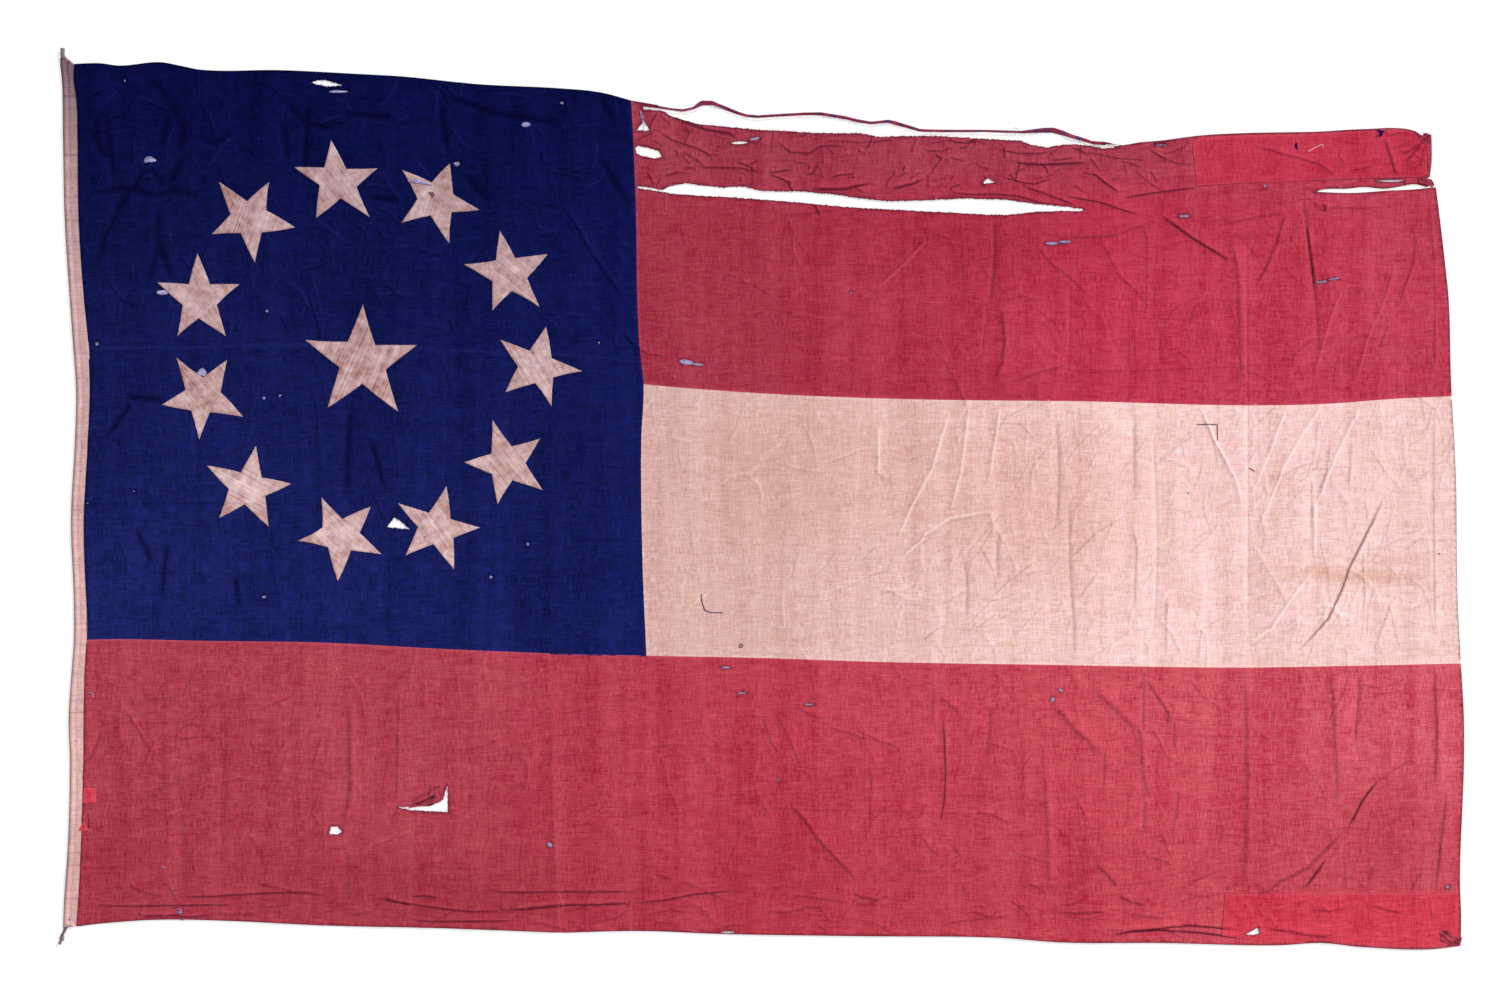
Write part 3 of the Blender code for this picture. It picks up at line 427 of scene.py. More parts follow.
# %% Creases of the bottom bar
BOTTOM_BAR_CREASES = (
    # The tuck that sweeps from the fly down to the foot patch.
    (LINE, (2387, 337), (2367, 325), (2344, 312), (2327, 298)),
    (SHARP, (2325, 296), (2319, 290), (2306, 274), (2295, 258), (2283, 234), (2272, 214)),
    (TUCK, (2267, 210), (2248, 188), (2225, 165), (2204, 147), (2177, 133), (2151, 121), (2124, 100),
     (2098, 77)), (SHARP, (2233, 158), (2218, 137), (2205, 119), (2193, 107)),
    (HAIR, (2195, 107), (2160, 107), (2119, 101)), (LINE, (2258, 195), (2248, 170), (2230, 156)),
    # The middle of the fly length, and its foot.
    (WIDE, (1823, 462), (1846, 439), (1866, 422), (1883, 404), (1904, 390)),
    (WIDE, (1903, 395), (1910, 374), (1910, 346), (1913, 311), (1924, 265)),
    (WIDE, (1749, 436), (1769, 416), (1785, 397), (1795, 383), (1813, 371), (1825, 357), (1837, 337)),
    (FOLD, (1917, 476), (1931, 450), (1948, 427), (1955, 413), (1955, 390)),
    (VALLEY, (1906, 487), (1908, 376)), (VALLEY, (1910, 262), (1908, 200)),
    (HAIR, (1934, 323), (1934, 270)), (LINE, (1975, 288), (1969, 235), (1962, 200)),
    (LINE, (1966, 402), (1966, 350)), (ROUND, (1922, 399), (1940, 367), (1952, 341), (1975, 327)),
    (LINE, (1843, 350), (1844, 314), (1839, 270)),
    (WIDE, (1739, 304), (1742, 262), (1746, 218), (1746, 174), (1745, 138), (1748, 110)),
    (PLAIN, (1558, 408), (1561, 367), (1563, 314), (1561, 262), (1556, 230), (1552, 218)),
    (LINE, (1542, 469), (1542, 438), (1540, 392)),
    (LINE, (1521, 196), (1535, 177), (1549, 165), (1558, 163)), (HAIR, (1545, 223), (1551, 207)),
    (LINE, (1572, 186), (1582, 174), (1589, 163)),
    (VALLEY, (1637, 429), (1637, 385), (1632, 341), (1637, 328)),
    (LINE, (1552, 443), (1568, 432), (1584, 416)),
    (LINE, (1429, 323), (1433, 288), (1431, 244), (1431, 209)),
    (FOLD, (1283, 263), (1299, 244), (1316, 226), (1334, 198), (1355, 175), (1376, 152), (1394, 135),
     (1404, 124)), (HAIR, (1236, 247), (1306, 246), (1376, 244), (1447, 244), (1544, 240)),
    (HAIR, (1556, 239), (1640, 239), (1676, 235)),
    (LINE, (1239, 408), (1250, 383), (1258, 358), (1271, 346)),
    (LINE, (1264, 416), (1285, 376), (1297, 346), (1309, 318)),
    (HAIR, (1243, 344), (1236, 314), (1228, 293)),
    (LINE, (1283, 423), (1302, 425), (1327, 411), (1350, 406)),
    (LINE, (1352, 392), (1382, 383), (1415, 372), (1438, 367)),
    (LINE, (1406, 385), (1426, 376), (1447, 365), (1473, 358), (1484, 348)),
    (LINE, (1628, 239), (1649, 235), (1676, 219)),
    (FOLD, (1827, 149), (1843, 135), (1855, 122), (1866, 107)),
    (FOLD, (1866, 94), (1887, 84), (1915, 77)), (LINE, (1887, 64), (1922, 57), (1948, 54)),
    (LINE, (1709, 115), (1725, 108), (1741, 94)), (HAIR, (1610, 159), (1630, 140)),
    (HAIR, (1596, 121), (1593, 112), (1600, 94)), (LINE, (1676, 89), (1693, 73), (1709, 59)),
    (LINE, (1681, 93), (1700, 73)),
    (HAIR, (1640, 110), (1676, 114), (1720, 110), (1764, 110), (1799, 108)),
    (FOLD, (1399, 98), (1415, 91), (1447, 87)), (HAIR, (1447, 77), (1464, 75)),
    (LINE, (1283, 87), (1306, 93), (1341, 89), (1373, 84)), (HAIR, (1246, 80), (1262, 77), (1280, 82)),
    (FOLD, (1771, 66), (1790, 63), (1816, 64), (1843, 66)), (HAIR, (1790, 47), (1808, 52), (1834, 59)),
    (HAIR, (1596, 31), (1623, 33), (1637, 29)),
    (SHARP, (1860, 27), (1887, 33), (1922, 36), (1992, 42), (2036, 38), (2086, 33)),
    (SHARP, (1848, 22), (1887, 31), (1940, 34), (2010, 29), (2087, 19)),
    (HAIR, (1236, 121), (1262, 108), (1288, 112)),
    # Round the foot patch.
    (WIDE, (2092, 494), (2095, 413), (2097, 316), (2096, 218), (2095, 98)),
    (HAIR, (2110, 323), (2112, 262)),
    (LINE, (2274, 487), (2265, 455), (2251, 429), (2239, 406), (2237, 395)),
    (WIDE, (2242, 490), (2248, 436), (2250, 386), (2253, 335), (2255, 283), (2255, 244)),
    (TROUGH, (2286, 489), (2286, 459), (2281, 386), (2279, 358)),
    (FOLD, (2424, 499), (2425, 438), (2427, 376), (2425, 314), (2422, 279)),
    (FOLD, (2444, 279), (2441, 232), (2434, 186), (2431, 152), (2425, 103)),
    (HAIR, (2459, 288), (2455, 244)), (LINE, (2265, 156), (2267, 103)),
    (VALLEY, (2309, 147), (2302, 112)), (VALLEY, (2397, 138), (2376, 103)),
    (LINE, (2212, 77), (2230, 71), (2244, 59)), (HAIR, (2112, 73), (2142, 77), (2160, 80), (2204, 84)),
    (LINE, (2415, 94), (2415, 68), (2420, 56), (2432, 54)), (LINE, (2054, 59), (2049, 42)),
    (HAIR, (1966, 376), (2063, 374), (2177, 374)), (LINE, (1922, 161), (1945, 156), (1961, 147)),
    (LINE, (2042, 138), (2010, 124), (1984, 112)), (HAIR, (1975, 103), (2010, 91), (2054, 100)),
    (SHARP, (2126, 36), (2165, 32), (2193, 26), (2230, 22), (2248, 31)),
    (PLAIN, (2201, 70), (2237, 67), (2270, 72)), (PLAIN, (2317, 78), (2332, 70), (2368, 63)),
    (HAIR, (2309, 247), (2323, 226)),
    # The hoist length.
    (DIP, (74, 364), (88, 379), (104, 395), (123, 408), (141, 425), (157, 432), (180, 434), (211, 438)),
    (LINE, (120, 418), (137, 394), (155, 364), (164, 351), (151, 323)),
    (LINE, (162, 346), (171, 365), (185, 376)), (LINE, (204, 369), (229, 372), (259, 374), (292, 371)),
    (LINE, (209, 383), (236, 399), (250, 413)), (LINE, (356, 418), (370, 429), (396, 438), (421, 452)),
    (DIP, (396, 371), (408, 394), (422, 411)), (DIP, (352, 374), (396, 376)),
    (DIP, (109, 244), (162, 262), (197, 283), (232, 297), (276, 318), (320, 346), (347, 362)),
    (LINE, (445, 314), (458, 353), (465, 376)),
    (WIDE, (517, 432), (517, 385), (517, 332), (519, 288), (514, 253), (507, 223), (503, 205)),
    (DIP, (507, 174), (505, 77)), (LINE, (600, 455), (600, 411), (598, 332), (598, 262)),
    (DIP, (289, 438), (290, 332), (287, 174), (285, 121)),
    (DIP, (218, 297), (216, 209), (220, 138), (218, 86)),
    (HAIR, (188, 332), (190, 262), (194, 191), (190, 121)), (HAIR, (234, 473), (234, 438)),
    (HAIR, (273, 214), (294, 223), (315, 233)), (LINE, (121, 121), (136, 107), (158, 98), (188, 93)),
    (LINE, (352, 128), (356, 114), (382, 108), (426, 100), (479, 93)),
    (LINE, (364, 75), (396, 77), (414, 78)), (SHARP, (572, 89), (593, 84), (625, 78)),
    (PLAIN, (621, 93), (646, 94), (672, 89)),
    (LINE, (116, 43), (162, 59), (180, 59), (215, 63), (227, 56)),
    (PLAIN, (143, 60), (162, 59), (206, 59), (232, 57), (259, 59), (276, 61)),
    (LINE, (276, 61), (303, 61), (356, 63)), (LINE, (183, 121), (201, 103), (211, 80)),
    (LINE, (42, 235), (49, 200)), (VALLEY, (74, 385), (65, 358), (53, 332)),
    (HAIR, (106, 358), (81, 337), (70, 325)), (HAIR, (132, 297), (123, 283)),
    (HAIR, (116, 135), (116, 61)), (HAIR, (49, 133), (116, 135)),
    # The foot hem, and the corner tear.
    (PLAIN, (602, 83), (637, 77), (679, 71), (734, 66), (778, 68)),
    (SHARP, (778, 68), (825, 71), (885, 77), (954, 79), (1014, 81)),
    (PLAIN, (1014, 81), (1068, 86), (1116, 96), (1192, 103)),
    (PLAIN, (211, 92), (276, 93), (336, 97), (408, 100), (461, 101)),
    (PLAIN, (65, 77), (127, 76), (197, 77), (312, 78)),
    (SHARP, (628, 254), (644, 262), (658, 269), (669, 277)),
    (PLAIN, (653, 269), (656, 279), (665, 284), (674, 287)), (HAIR, (33, 143), (110, 143)),
    (HAIR, (110, 142), (110, 82)), (PLAIN, (616, 52), (655, 49), (725, 49), (804, 50)),
    (HAIR, (674, 54), (681, 59)),
    (LINE, (868, 494), (871, 402), (872, 279), (874, 200), (878, 138), (883, 86), (884, 29)),
    (PLAIN, (755, 108), (778, 100), (884, 101), (1024, 101)), (LINE, (1051, 133), (1081, 121)),
    (LINE, (1095, 121), (1139, 103), (1174, 86)), (HAIR, (857, 270), (831, 247)),
    (LINE, (632, 251), (644, 260), (656, 265), (665, 270), (669, 276)),
    (LINE, (652, 269), (656, 281), (663, 286), (669, 289)), (LINE, (656, 256), (664, 263), (668, 272)),
    (ROUND, (660, 267), (667, 276)))
print(len(BOTTOM_BAR_CREASES), "creases in the bottom bar")

# %% Creases of the canton
CANTON_CREASES = (
    # The upper width.
    (FOLD, (887, 1310), (906, 1282), (936, 1230), (963, 1191), (993, 1147)),
    (BAND, (950, 1388), (975, 1349), (1003, 1303)),
    (BAND, (674, 1497), (725, 1481), (767, 1467), (813, 1458), (866, 1450), (894, 1439)),
    (BAND, (505, 1464), (549, 1462), (593, 1455)), (BAND, (706, 1367), (734, 1335), (759, 1309)),
    (LINE, (864, 1367), (892, 1362), (931, 1353)), (HAIR, (803, 1423), (804, 1388)),
    (BAND, (950, 1497), (961, 1476), (975, 1451)), (HAIR, (919, 1194), (928, 1168), (942, 1147)),
    (HAIR, (954, 1115), (966, 1098), (993, 1092)), (BAND, (79, 1479), (86, 1411), (95, 1349)),
    (BAND, (158, 1386), (107, 1312), (79, 1256), (63, 1196)), (BAND, (158, 1374), (185, 1335)),
    (BAND, (172, 1256), (185, 1215), (194, 1175)), (BAND, (192, 1492), (215, 1444), (222, 1416)),
    (BAND, (392, 1457), (400, 1388)), (BAND, (55, 1325), (120, 1332), (176, 1321), (227, 1332)),
    (BAND, (172, 1312), (172, 1233), (153, 1168)), (BAND, (172, 1233), (197, 1177)),
    (BAND, (190, 1471), (176, 1411)), (BAND, (218, 1400), (190, 1346)), (BAND, (158, 1527), (195, 1490)),
    (BAND, (190, 1333), (250, 1318)), (BAND, (227, 1462), (206, 1418), (220, 1397)),
    (BAND, (241, 1427), (278, 1411), (313, 1434)), (LINE, (257, 1483), (278, 1430)),
    (BAND, (394, 1490), (436, 1448), (488, 1437)), (BAND, (436, 1490), (429, 1362)),
    (BAND, (546, 1318), (602, 1310)), (BAND, (669, 1490), (683, 1390)),
    (BAND, (69, 1472), (60, 1430), (81, 1388)), (SOFT, (444, 1194), (466, 1108)),
    (SOFT, (479, 1254), (484, 1198)), (SOFT, (306, 1108), (299, 1064)), (SOFT, (333, 1108), (320, 1050)),
    (LINE, (364, 1529), (391, 1502), (426, 1495)), (HAIR, (118, 1479), (185, 1455)),
    (HAIR, (106, 1455), (171, 1435)), (HAIR, (343, 1494), (338, 1462)), (HAIR, (405, 1485), (398, 1444)),
    # The lower width.
    (BAND, (197, 957), (127, 966), (74, 895)), (SOFT, (359, 1010), (341, 948), (329, 860)),
    (SOFT, (289, 904), (253, 869), (246, 834)), (SOFT, (232, 930), (241, 834)),
    (SOFT, (444, 1018), (458, 948), (465, 825)), (BAND, (510, 966), (502, 790)),
    (SOFT, (593, 913), (605, 807)), (BAND, (546, 895), (570, 807)), (BAND, (188, 719), (176, 614)),
    (SOFT, (224, 684), (232, 596)), (SOFT, (245, 737), (241, 596)), (SOFT, (250, 684), (273, 605)),
    (BAND, (306, 658), (315, 596)), (BAND, (132, 737), (162, 675)),
    (HAIR, (53, 784), (250, 786), (496, 782)), (HAIR, (936, 719), (989, 724)),
    (LINE, (553, 802), (579, 749)))
print(len(CANTON_CREASES), "creases in the canton")
CREASES = list(TOP_BAR_CREASES + WHITE_BAR_CREASES + BOTTOM_BAR_CREASES + CANTON_CREASES)
print(len(CREASES), "creases placed by hand")

# %% Small crumples between them
Crumple = namedtuple("Crumple", "low high count size leans kinds")
CRUMPLES = (Crumple((45, 1080), (1010, 1545), 190, 34, (-70, -50, 40, 80, 5), (NICK, NICK, SOFT, FINE)),
            Crumple((45, 545), (1050, 1060), 90, 36, (-75, 50, 85, 0), (NICK, NICK, SOFT)),
            Crumple((1040, 1325), (1790, 1455), 92, 22, (-30, 0, 12, 75), (NICK, FINE, FINE, PLAIN)),
            Crumple((1790, 1345), (1975, 1450), 14, 34, (-35, -20, 0), (SOFT, HAIR, FINE)),
            Crumple((1040, 1010), (2440, 1290), 70, 36, (-55, 5, 90, 90), (NICK, SOFT)),
            Crumple((1060, 540), (1560, 970), 30, 40, (30, 45, 90, 0), (NICK, SOFT)),
            Crumple((1560, 540), (2440, 970), 150, 48, (35, 50, 60, 90, 90), (NICK, SOFT)),
            Crumple((45, 130), (1000, 520), 80, 40, (25, 45, 90, 90), (NICK, SOFT)),
            Crumple((1000, 60), (2440, 520), 110, 40, (-50, 0, 90, 90), (NICK, SOFT)),
            Crumple((60, 18), (2430, 80), 90, 40, (-12, 0, 8), (NICK, HAIR, LINE)),
            Crumple((2330, 1368), (2418, 1436), 13, 22, (-62, 58, 80, -25), (NICK, SOFT)))
CRUMPLE_SEED = 200
LEAN_SPREAD = 12  # degrees
KINK = 22


def crumpled(area, seed):
    """Short kinked creases at random places in an area, each along one of its leans."""
    chance = random.Random(seed)
    for _ in range(area.count):
        spot = [chance.uniform(a, b) for a, b in zip(area.low, area.high)]
        lean = math.radians(chance.choice(area.leans) + chance.gauss(0, LEAN_SPREAD))
        marks = [tuple(spot)]
        for _ in range(chance.randint(1, 3)):
            run = chance.uniform(0.4, 1.2) * area.size
            spot = [spot[0] + run * math.cos(lean), spot[1] + run * math.sin(lean)]
            marks.append(tuple(spot))
            lean += math.radians(chance.gauss(0, KINK))
        yield (chance.choice(area.kinds), *marks)


for seed, area in enumerate(CRUMPLES, CRUMPLE_SEED):
    CREASES += crumpled(area, seed)
print(len(CREASES), "creases with the crumples")

# %% How far along and to which side
def along(points, marks):
    """For each point: distance from a line of marks, side of it, and share of its length."""
    marks = np.array(marks, float)
    runs = np.linalg.norm(np.diff(marks, axis=0), axis=1)
    best = np.full(len(points), np.inf)
    lit = np.zeros(len(points), bool)
    share = np.zeros(len(points))
    start = 0.0
    for a, b, run in zip(marks, marks[1:], runs):
        rel = points - a
        t = np.clip(rel @ (b - a) / run, 0, run)
        off = rel - t[:, None] * (b - a) / run
        gap = np.hypot(off[:, 0], off[:, 1])
        closer = gap < best
        best = np.where(closer, gap, best)
        lit = np.where(closer, off @ TOWARD_WINDOW > 0, lit)
        share = np.where(closer, (start + t) / runs.sum(), share)
        start += run
    return best, lit, share


def swell(points, size, count, seed):
    """A random swell from about -1 to 1: waves of about one size that run in many directions."""
    chance = random.Random(seed)
    height = np.zeros(len(points))
    for _ in range(count):
        turn, length = chance.uniform(0, math.pi), size * chance.uniform(0.7, 1.6)
        across = points[:, 0] * math.cos(turn) + points[:, 1] * math.sin(turn)
        height += np.sin(across * 2 * math.pi / length + chance.uniform(0, 2 * math.pi))
    return height / math.sqrt(count) / 1.4


# %% [markdown]
# ## Height, painted shade and painted highlight
# A crease falls away from its line on both sides and tapers off at its two ends. Painted shade
# darkens it low on its steep side, away from the window, and a painted highlight pales the crown
# beside it on the side toward the window. Both are kept at the cloth's own points, so that the dye
# can be darkened and paled there later. Marks are set along the lines of height, painted shade and
# painted highlight, so that the mesh is fine where the cloth bends and stays coarse where it is flat.

# %% Height of the cloth
CLOTH = 1.2
RESTS = 0.9
LOWEST = 0.1
SWELLS = ((0.8, 420, 9, 3), (0.30, 70, 16, 5), (0.10, 19, 24, 8))  # rise, size, waves, seed
TAPER = 6            # a crease tapers off over the last sixth of its length
PAINTED_LINE_REACH = 2.0    # the least width of a line of painted shade or of painted highlight
SHADE_AT = 0.35       # where the painted shade lies, as a share of the steep side
SHADE_WIDE = 0.45


def highlight_at(lay):
    """How far from a crease its painted highlight lies, on the slow side toward the window."""
    return max(2.4, lay.slow * 0.2)


def lie(points):
    """At each point, the height of the cloth's face in millimetres and the marks of its creases:
    above nought for painted shade on a crease's side away from the window, below it for a painted
    highlight on its side toward the window."""
    height = np.full(len(points), RESTS)
    for rise, size, count, seed in SWELLS:
        height += rise * swell(points, size, count, seed)
    stain = np.zeros(len(points))
    for lay, *marks in CREASES:
        low, high = np.min(marks, axis=0) - lay.slow, np.max(marks, axis=0) + lay.slow
        near = np.all((points > low) & (points < high), axis=1)
        if not near.any():
            continue
        away, lit, share = along(points[near], marks)
        slope = np.clip(1 - away / np.where(lit, lay.slow, lay.steep), 0, 1)
        taper = np.clip(np.minimum(share, 1 - share) * TAPER, 0, 1) ** 0.7
        height[near] += lay.height * taper * slope**2 * (1.6 - 0.6 * slope)
        # Painted shade falls on the side away from the window and a painted highlight on the side toward it,
        # the other way round for a groove.
        off = np.where(lit, away, -away) * math.copysign(1, lay.height)
        shade_and_dirt = np.clip(1 - np.abs(off + lay.steep * SHADE_AT) / max(PAINTED_LINE_REACH, lay.steep * SHADE_WIDE), 0, 1)
        highlight = np.clip(1 - np.abs(off - highlight_at(lay)) / max(PAINTED_LINE_REACH, lay.slow * 0.2), 0, 1)
        mark = (lay.dark * shade_and_dirt - lay.pale * highlight) * taper
        stain[near] = np.where(np.abs(mark) > np.abs(stain[near]), mark, stain[near])
    return np.maximum(height, LOWEST) + CLOTH, stain


# %% Marks that follow the creases
MARK_PITCH = 2.9


def finer(rows, pitch):
    """Rows of a table drawn again at an even pitch along their first two columns."""
    rows = np.array(rows, float)
    place = np.concatenate(([0], np.cumsum(np.linalg.norm(np.diff(rows[:, :2], axis=0), axis=1))))
    steps = np.linspace(0, place[-1], max(2, round(place[-1] / pitch)))
    return np.column_stack([np.interp(steps, place, column) for column in rows.T])


def crease_marks():
    """Rows of marks beside every crease, close enough to draw its line, the rows of painted shade first."""
    orders = ([], [], [], [])
    for lay, *marks in CREASES:
        line = finer(marks, MARK_PITCH)
        side = beside(line)
        side *= np.where(side @ TOWARD_WINDOW > 0, 1, -1)[:, None] * math.copysign(1, lay.height)
        reaches = (-lay.steep * SHADE_AT, highlight_at(lay), -lay.steep - 1.0, lay.slow * 0.5)
        for rows, out in zip(orders, reaches):
            rows.append(line + side * out)
    return np.vstack([np.vstack(rows) for rows in orders])


CREASE_MARKS = crease_marks()
print("crease marks", len(CREASE_MARKS))

# %% [markdown]
# ## Materials
# Flag bunting is a loose plain weave of worsted wool, whose uneven threads leave faint slubs up and
# down the cloth. One node group makes that weave for every cloth here, from noise that is stretched
# along the warp and along the weft at several sizes. A second one makes the soiling that a century
# leaves. Each cloth then mixes the two with its own dye, which fades toward the fly. A picture of
# cloth would repeat itself and blur close up, and noise does neither.

# %% Small helpers for nodes
def put(tree, kind, *inputs, **options):
    """Adds a shader node, sets its options, and links or sets its inputs in their order."""
    node = tree.nodes.new("ShaderNode" + kind)
    for option, value in options.items():
        setattr(node, option, value)
    for socket, source in zip(node.inputs, inputs):
        if source is not None:
            feed(tree, socket, source)
    return node


def feed(tree, socket, source):
    """Links a socket to another, or sets it to a value."""
    if isinstance(source, bpy.types.NodeSocket):
        tree.links.new(source, socket)
    else:
        socket.default_value = source


def math_of(tree, operation, *inputs, clamp=False):
    return put(tree, "Math", *inputs, operation=operation, use_clamp=clamp).outputs[0]


def vector_of(tree, operation, *inputs):
    return put(tree, "VectorMath", *inputs, operation=operation).outputs[0]


def swing(tree, value, strength):
    """A value from 0 to 1 as a swing about nought, half of the strength each way."""
    return math_of(tree, "MULTIPLY_ADD", value, strength, -strength / 2)


def noise(tree, place, across, up, seed=0.0, detail=2.0):
    """Noise from 0 to 1 whose grains are so many metres across the flag and so many up it."""
    stretched = vector_of(tree, "MULTIPLY", place, (1 / across, 1 / up, 0))
    moved = vector_of(tree, "ADD", stretched, (seed, seed * 1.7, seed))
    return put(tree, "TexNoise", moved, None, 1.0, detail, 0.5).outputs[0]


def blend(tree, share, first, second, mode="MIX"):
    """Mixes two colours, each a socket or (r, g, b, 1)."""
    mix = put(tree, "Mix", share, data_type="RGBA", blend_type=mode)
    feed(tree, mix.inputs[6], first)
    feed(tree, mix.inputs[7], second)
    return mix.outputs[2]


def screen(red, green, blue):
    """Linear colour from a screen colour of 0 to 255."""
    shares = [c / 255 for c in (red, green, blue)]
    return (*[s / 12.92 if s <= 0.04045 else ((s + 0.055) / 1.055) ** 2.4 for s in shares], 1.0)


# %% Node groups
def new_group(name, inputs, outputs):
    """A node group with named sockets: its tree, its input sockets and its output node."""
    tree = bpy.data.node_groups.new(name, "ShaderNodeTree")
    for label, kind, default in inputs:
        socket = tree.interface.new_socket(label, in_out="INPUT", socket_type="NodeSocket" + kind)
        if default is not None:
            socket.default_value = default
    for label in outputs:
        tree.interface.new_socket(label, in_out="OUTPUT", socket_type="NodeSocketFloat")
    return tree, tree.nodes.new("NodeGroupInput").outputs, tree.nodes.new("NodeGroupOutput")


def group_of(tree, group, **values):
    node = tree.nodes.new("ShaderNodeGroup")
    node.node_tree = group
    for label, source in values.items():
        feed(tree, node.inputs[label], source)
    return node.outputs


# %% The weave of every cloth
# Each noise: its size across and up in metres, and its share of the shade. The finest come first.
WARP = ((0.0014, 0.016, 0.46), (0.0026, 0.024, 0.24), (0.006, 0.060, 0.09), (0.014, 0.22, 0.15),
        (0.036, 0.70, 0.26))
WEFT = ((0.016, 0.0014, 0.42), (0.024, 0.0026, 0.22), (0.055, 0.006, 0.06), (0.14, 0.012, 0.05),
        (0.40, 0.028, 0.06))
weave, inlet, outlet = new_group("bunting_weave", [("Place", "Vector", None), ("Coarseness", "Float", 1.0)],
                                 ["Shade", "Relief"])
scaled = put(weave, "VectorMath", inlet["Place"], operation="SCALE")
weave.links.new(math_of(weave, "DIVIDE", 1.0, inlet["Coarseness"]), scaled.inputs["Scale"])
grains = [swing(weave, noise(weave, scaled.outputs[0], across, up, seed * 3.1), share)
          for seed, (across, up, share) in enumerate(WARP + WEFT, 1)]
shade = grains[0]
for grain in grains[1:]:
    shade = math_of(weave, "ADD", shade, grain)
weave.links.new(shade, outlet.inputs["Shade"])
weave.links.new(math_of(weave, "MAXIMUM", grains[0], grains[len(WARP)]), outlet.inputs["Relief"])
print("weave made of", len(grains), "noises")

# %% The soiling of many years
# Each kind: the size of its grains across and up in metres, its seed, its detail, and the stretch of
# the noise that is drawn out from none to full.
SOILS = {"Cloud": (0.21, 0.17, 5.0, 4.0, None), "Mottle": (0.034, 0.030, 9.0, 3.0, None),
         "Fleck": (0.0075, 0.0065, 13.0, 2.0, (0.64, 0.76)), "Warm": (0.014, 0.012, 17.0, 6.0, (0.42, 0.60)),
         "Cool": (0.0030, 0.0034, 21.0, 2.0, (0.40, 0.62))}
soiling, inlet, outlet = new_group("soiling", [("Place", "Vector", None)], list(SOILS))
for label, (across, up, seed, detail, stretch) in SOILS.items():
    value = noise(soiling, inlet["Place"], across, up, seed, detail)
    if stretch:
        value = put(soiling, "MapRange", value, *stretch, 0.0, 1.0).outputs[0]
    soiling.links.new(value, outlet.inputs[label])
print("soiling made of", len(SOILS), "noises")

# %% Dye along the flag
HOIST_END, FLY_END = round(cad_low[0], 3), round(cad_high[0], 3)


def dye_along(tree, way, stops):
    """Colours of 0 to 255 at even steps of the way to the fly. One stop dyes the cloth evenly."""
    stops = stops * 2 if len(stops) == 1 else stops
    ramp = put(tree, "ValToRGB", way)
    elements = ramp.color_ramp.elements
    for i in range(1, len(stops) - 1):
        elements.new(i / (len(stops) - 1))
    for element, colour in zip(elements, stops):
        element.color = screen(*colour)
    return ramp.outputs[0]


def value_of(tree, name):
    """A value that is kept at the mesh's own points."""
    return put(tree, "Attribute", attribute_name=name, attribute_type="GEOMETRY").outputs["Fac"]


def dye_of(tree, place, head, foot, between):
    """The dye at each place, from foot to head between two marks up the hoist."""
    along_fly, up_hoist, _ = put(tree, "SeparateXYZ", place).outputs
    way = put(tree, "MapRange", along_fly, HOIST_END, FLY_END, 0.0, 1.0).outputs[0]
    low, high = (mark * MM + CORNER[1] for mark in between)
    rise = put(tree, "MapRange", up_hoist, low, high, 0.0, 1.0).outputs[0]
    return blend(tree, rise, dye_along(tree, way, foot), dye_along(tree, way, head))


# %% Soil, painted shade and painted highlight on the dye
COOL_TINT = (0.93, 0.87, 1.12, 1)
DUST_TINT = (0.74, 0.80, 0.92, 1)
# A rim is painted pale along seams, a painted highlight, and dark with handling along free and torn edges.
RIM_HIGHLIGHT, RIM_DIRTY = 0.5, 0.8


def soiled_and_shaded(tree, colour, years, grime_and_shade, highlight_and_edge, flecked, tinted, warm, soil):
    """The dye with its tints and flecks, the painted shade and painted highlight of its folds, the marks of
    its rims, and its stains and dust, one of which is painted shade.
    """
    fold, blot, rim = (value_of(tree, name) for name in ("stain", "blot", "rim"))
    shade_and_dirt, highlight = screen(*grime_and_shade), screen(*highlight_and_edge)
    # A fold's mark above nought is painted shade and below it a painted highlight; a rim's mark above nought
    # is the painted highlight of a seam.
    for value, strength, tint, mode in (
            (years["Warm"], tinted, (*warm, 1), "MULTIPLY"), (years["Cool"], tinted, COOL_TINT, "MULTIPLY"),
            (years["Fleck"], flecked, shade_and_dirt, "MIX"), (fold, 1.0, shade_and_dirt, "MIX"), (fold, -1.0, highlight, "MIX"),
            (blot, 1.0, (*soil, 1), "MULTIPLY"), (blot, -1.0, DUST_TINT, "MULTIPLY"),
            (rim, RIM_HIGHLIGHT, highlight, "MIX"), (rim, -RIM_DIRTY, shade_and_dirt, "MIX")):
        share = math_of(tree, "MULTIPLY", value, strength, clamp=True)
        colour = blend(tree, share, colour, tint, mode)
    return colour


# %% One material for each cloth
LEAST_LIGHT = (0.3, 0.3, 0.3)
THREAD_DEPTH = 0.0008


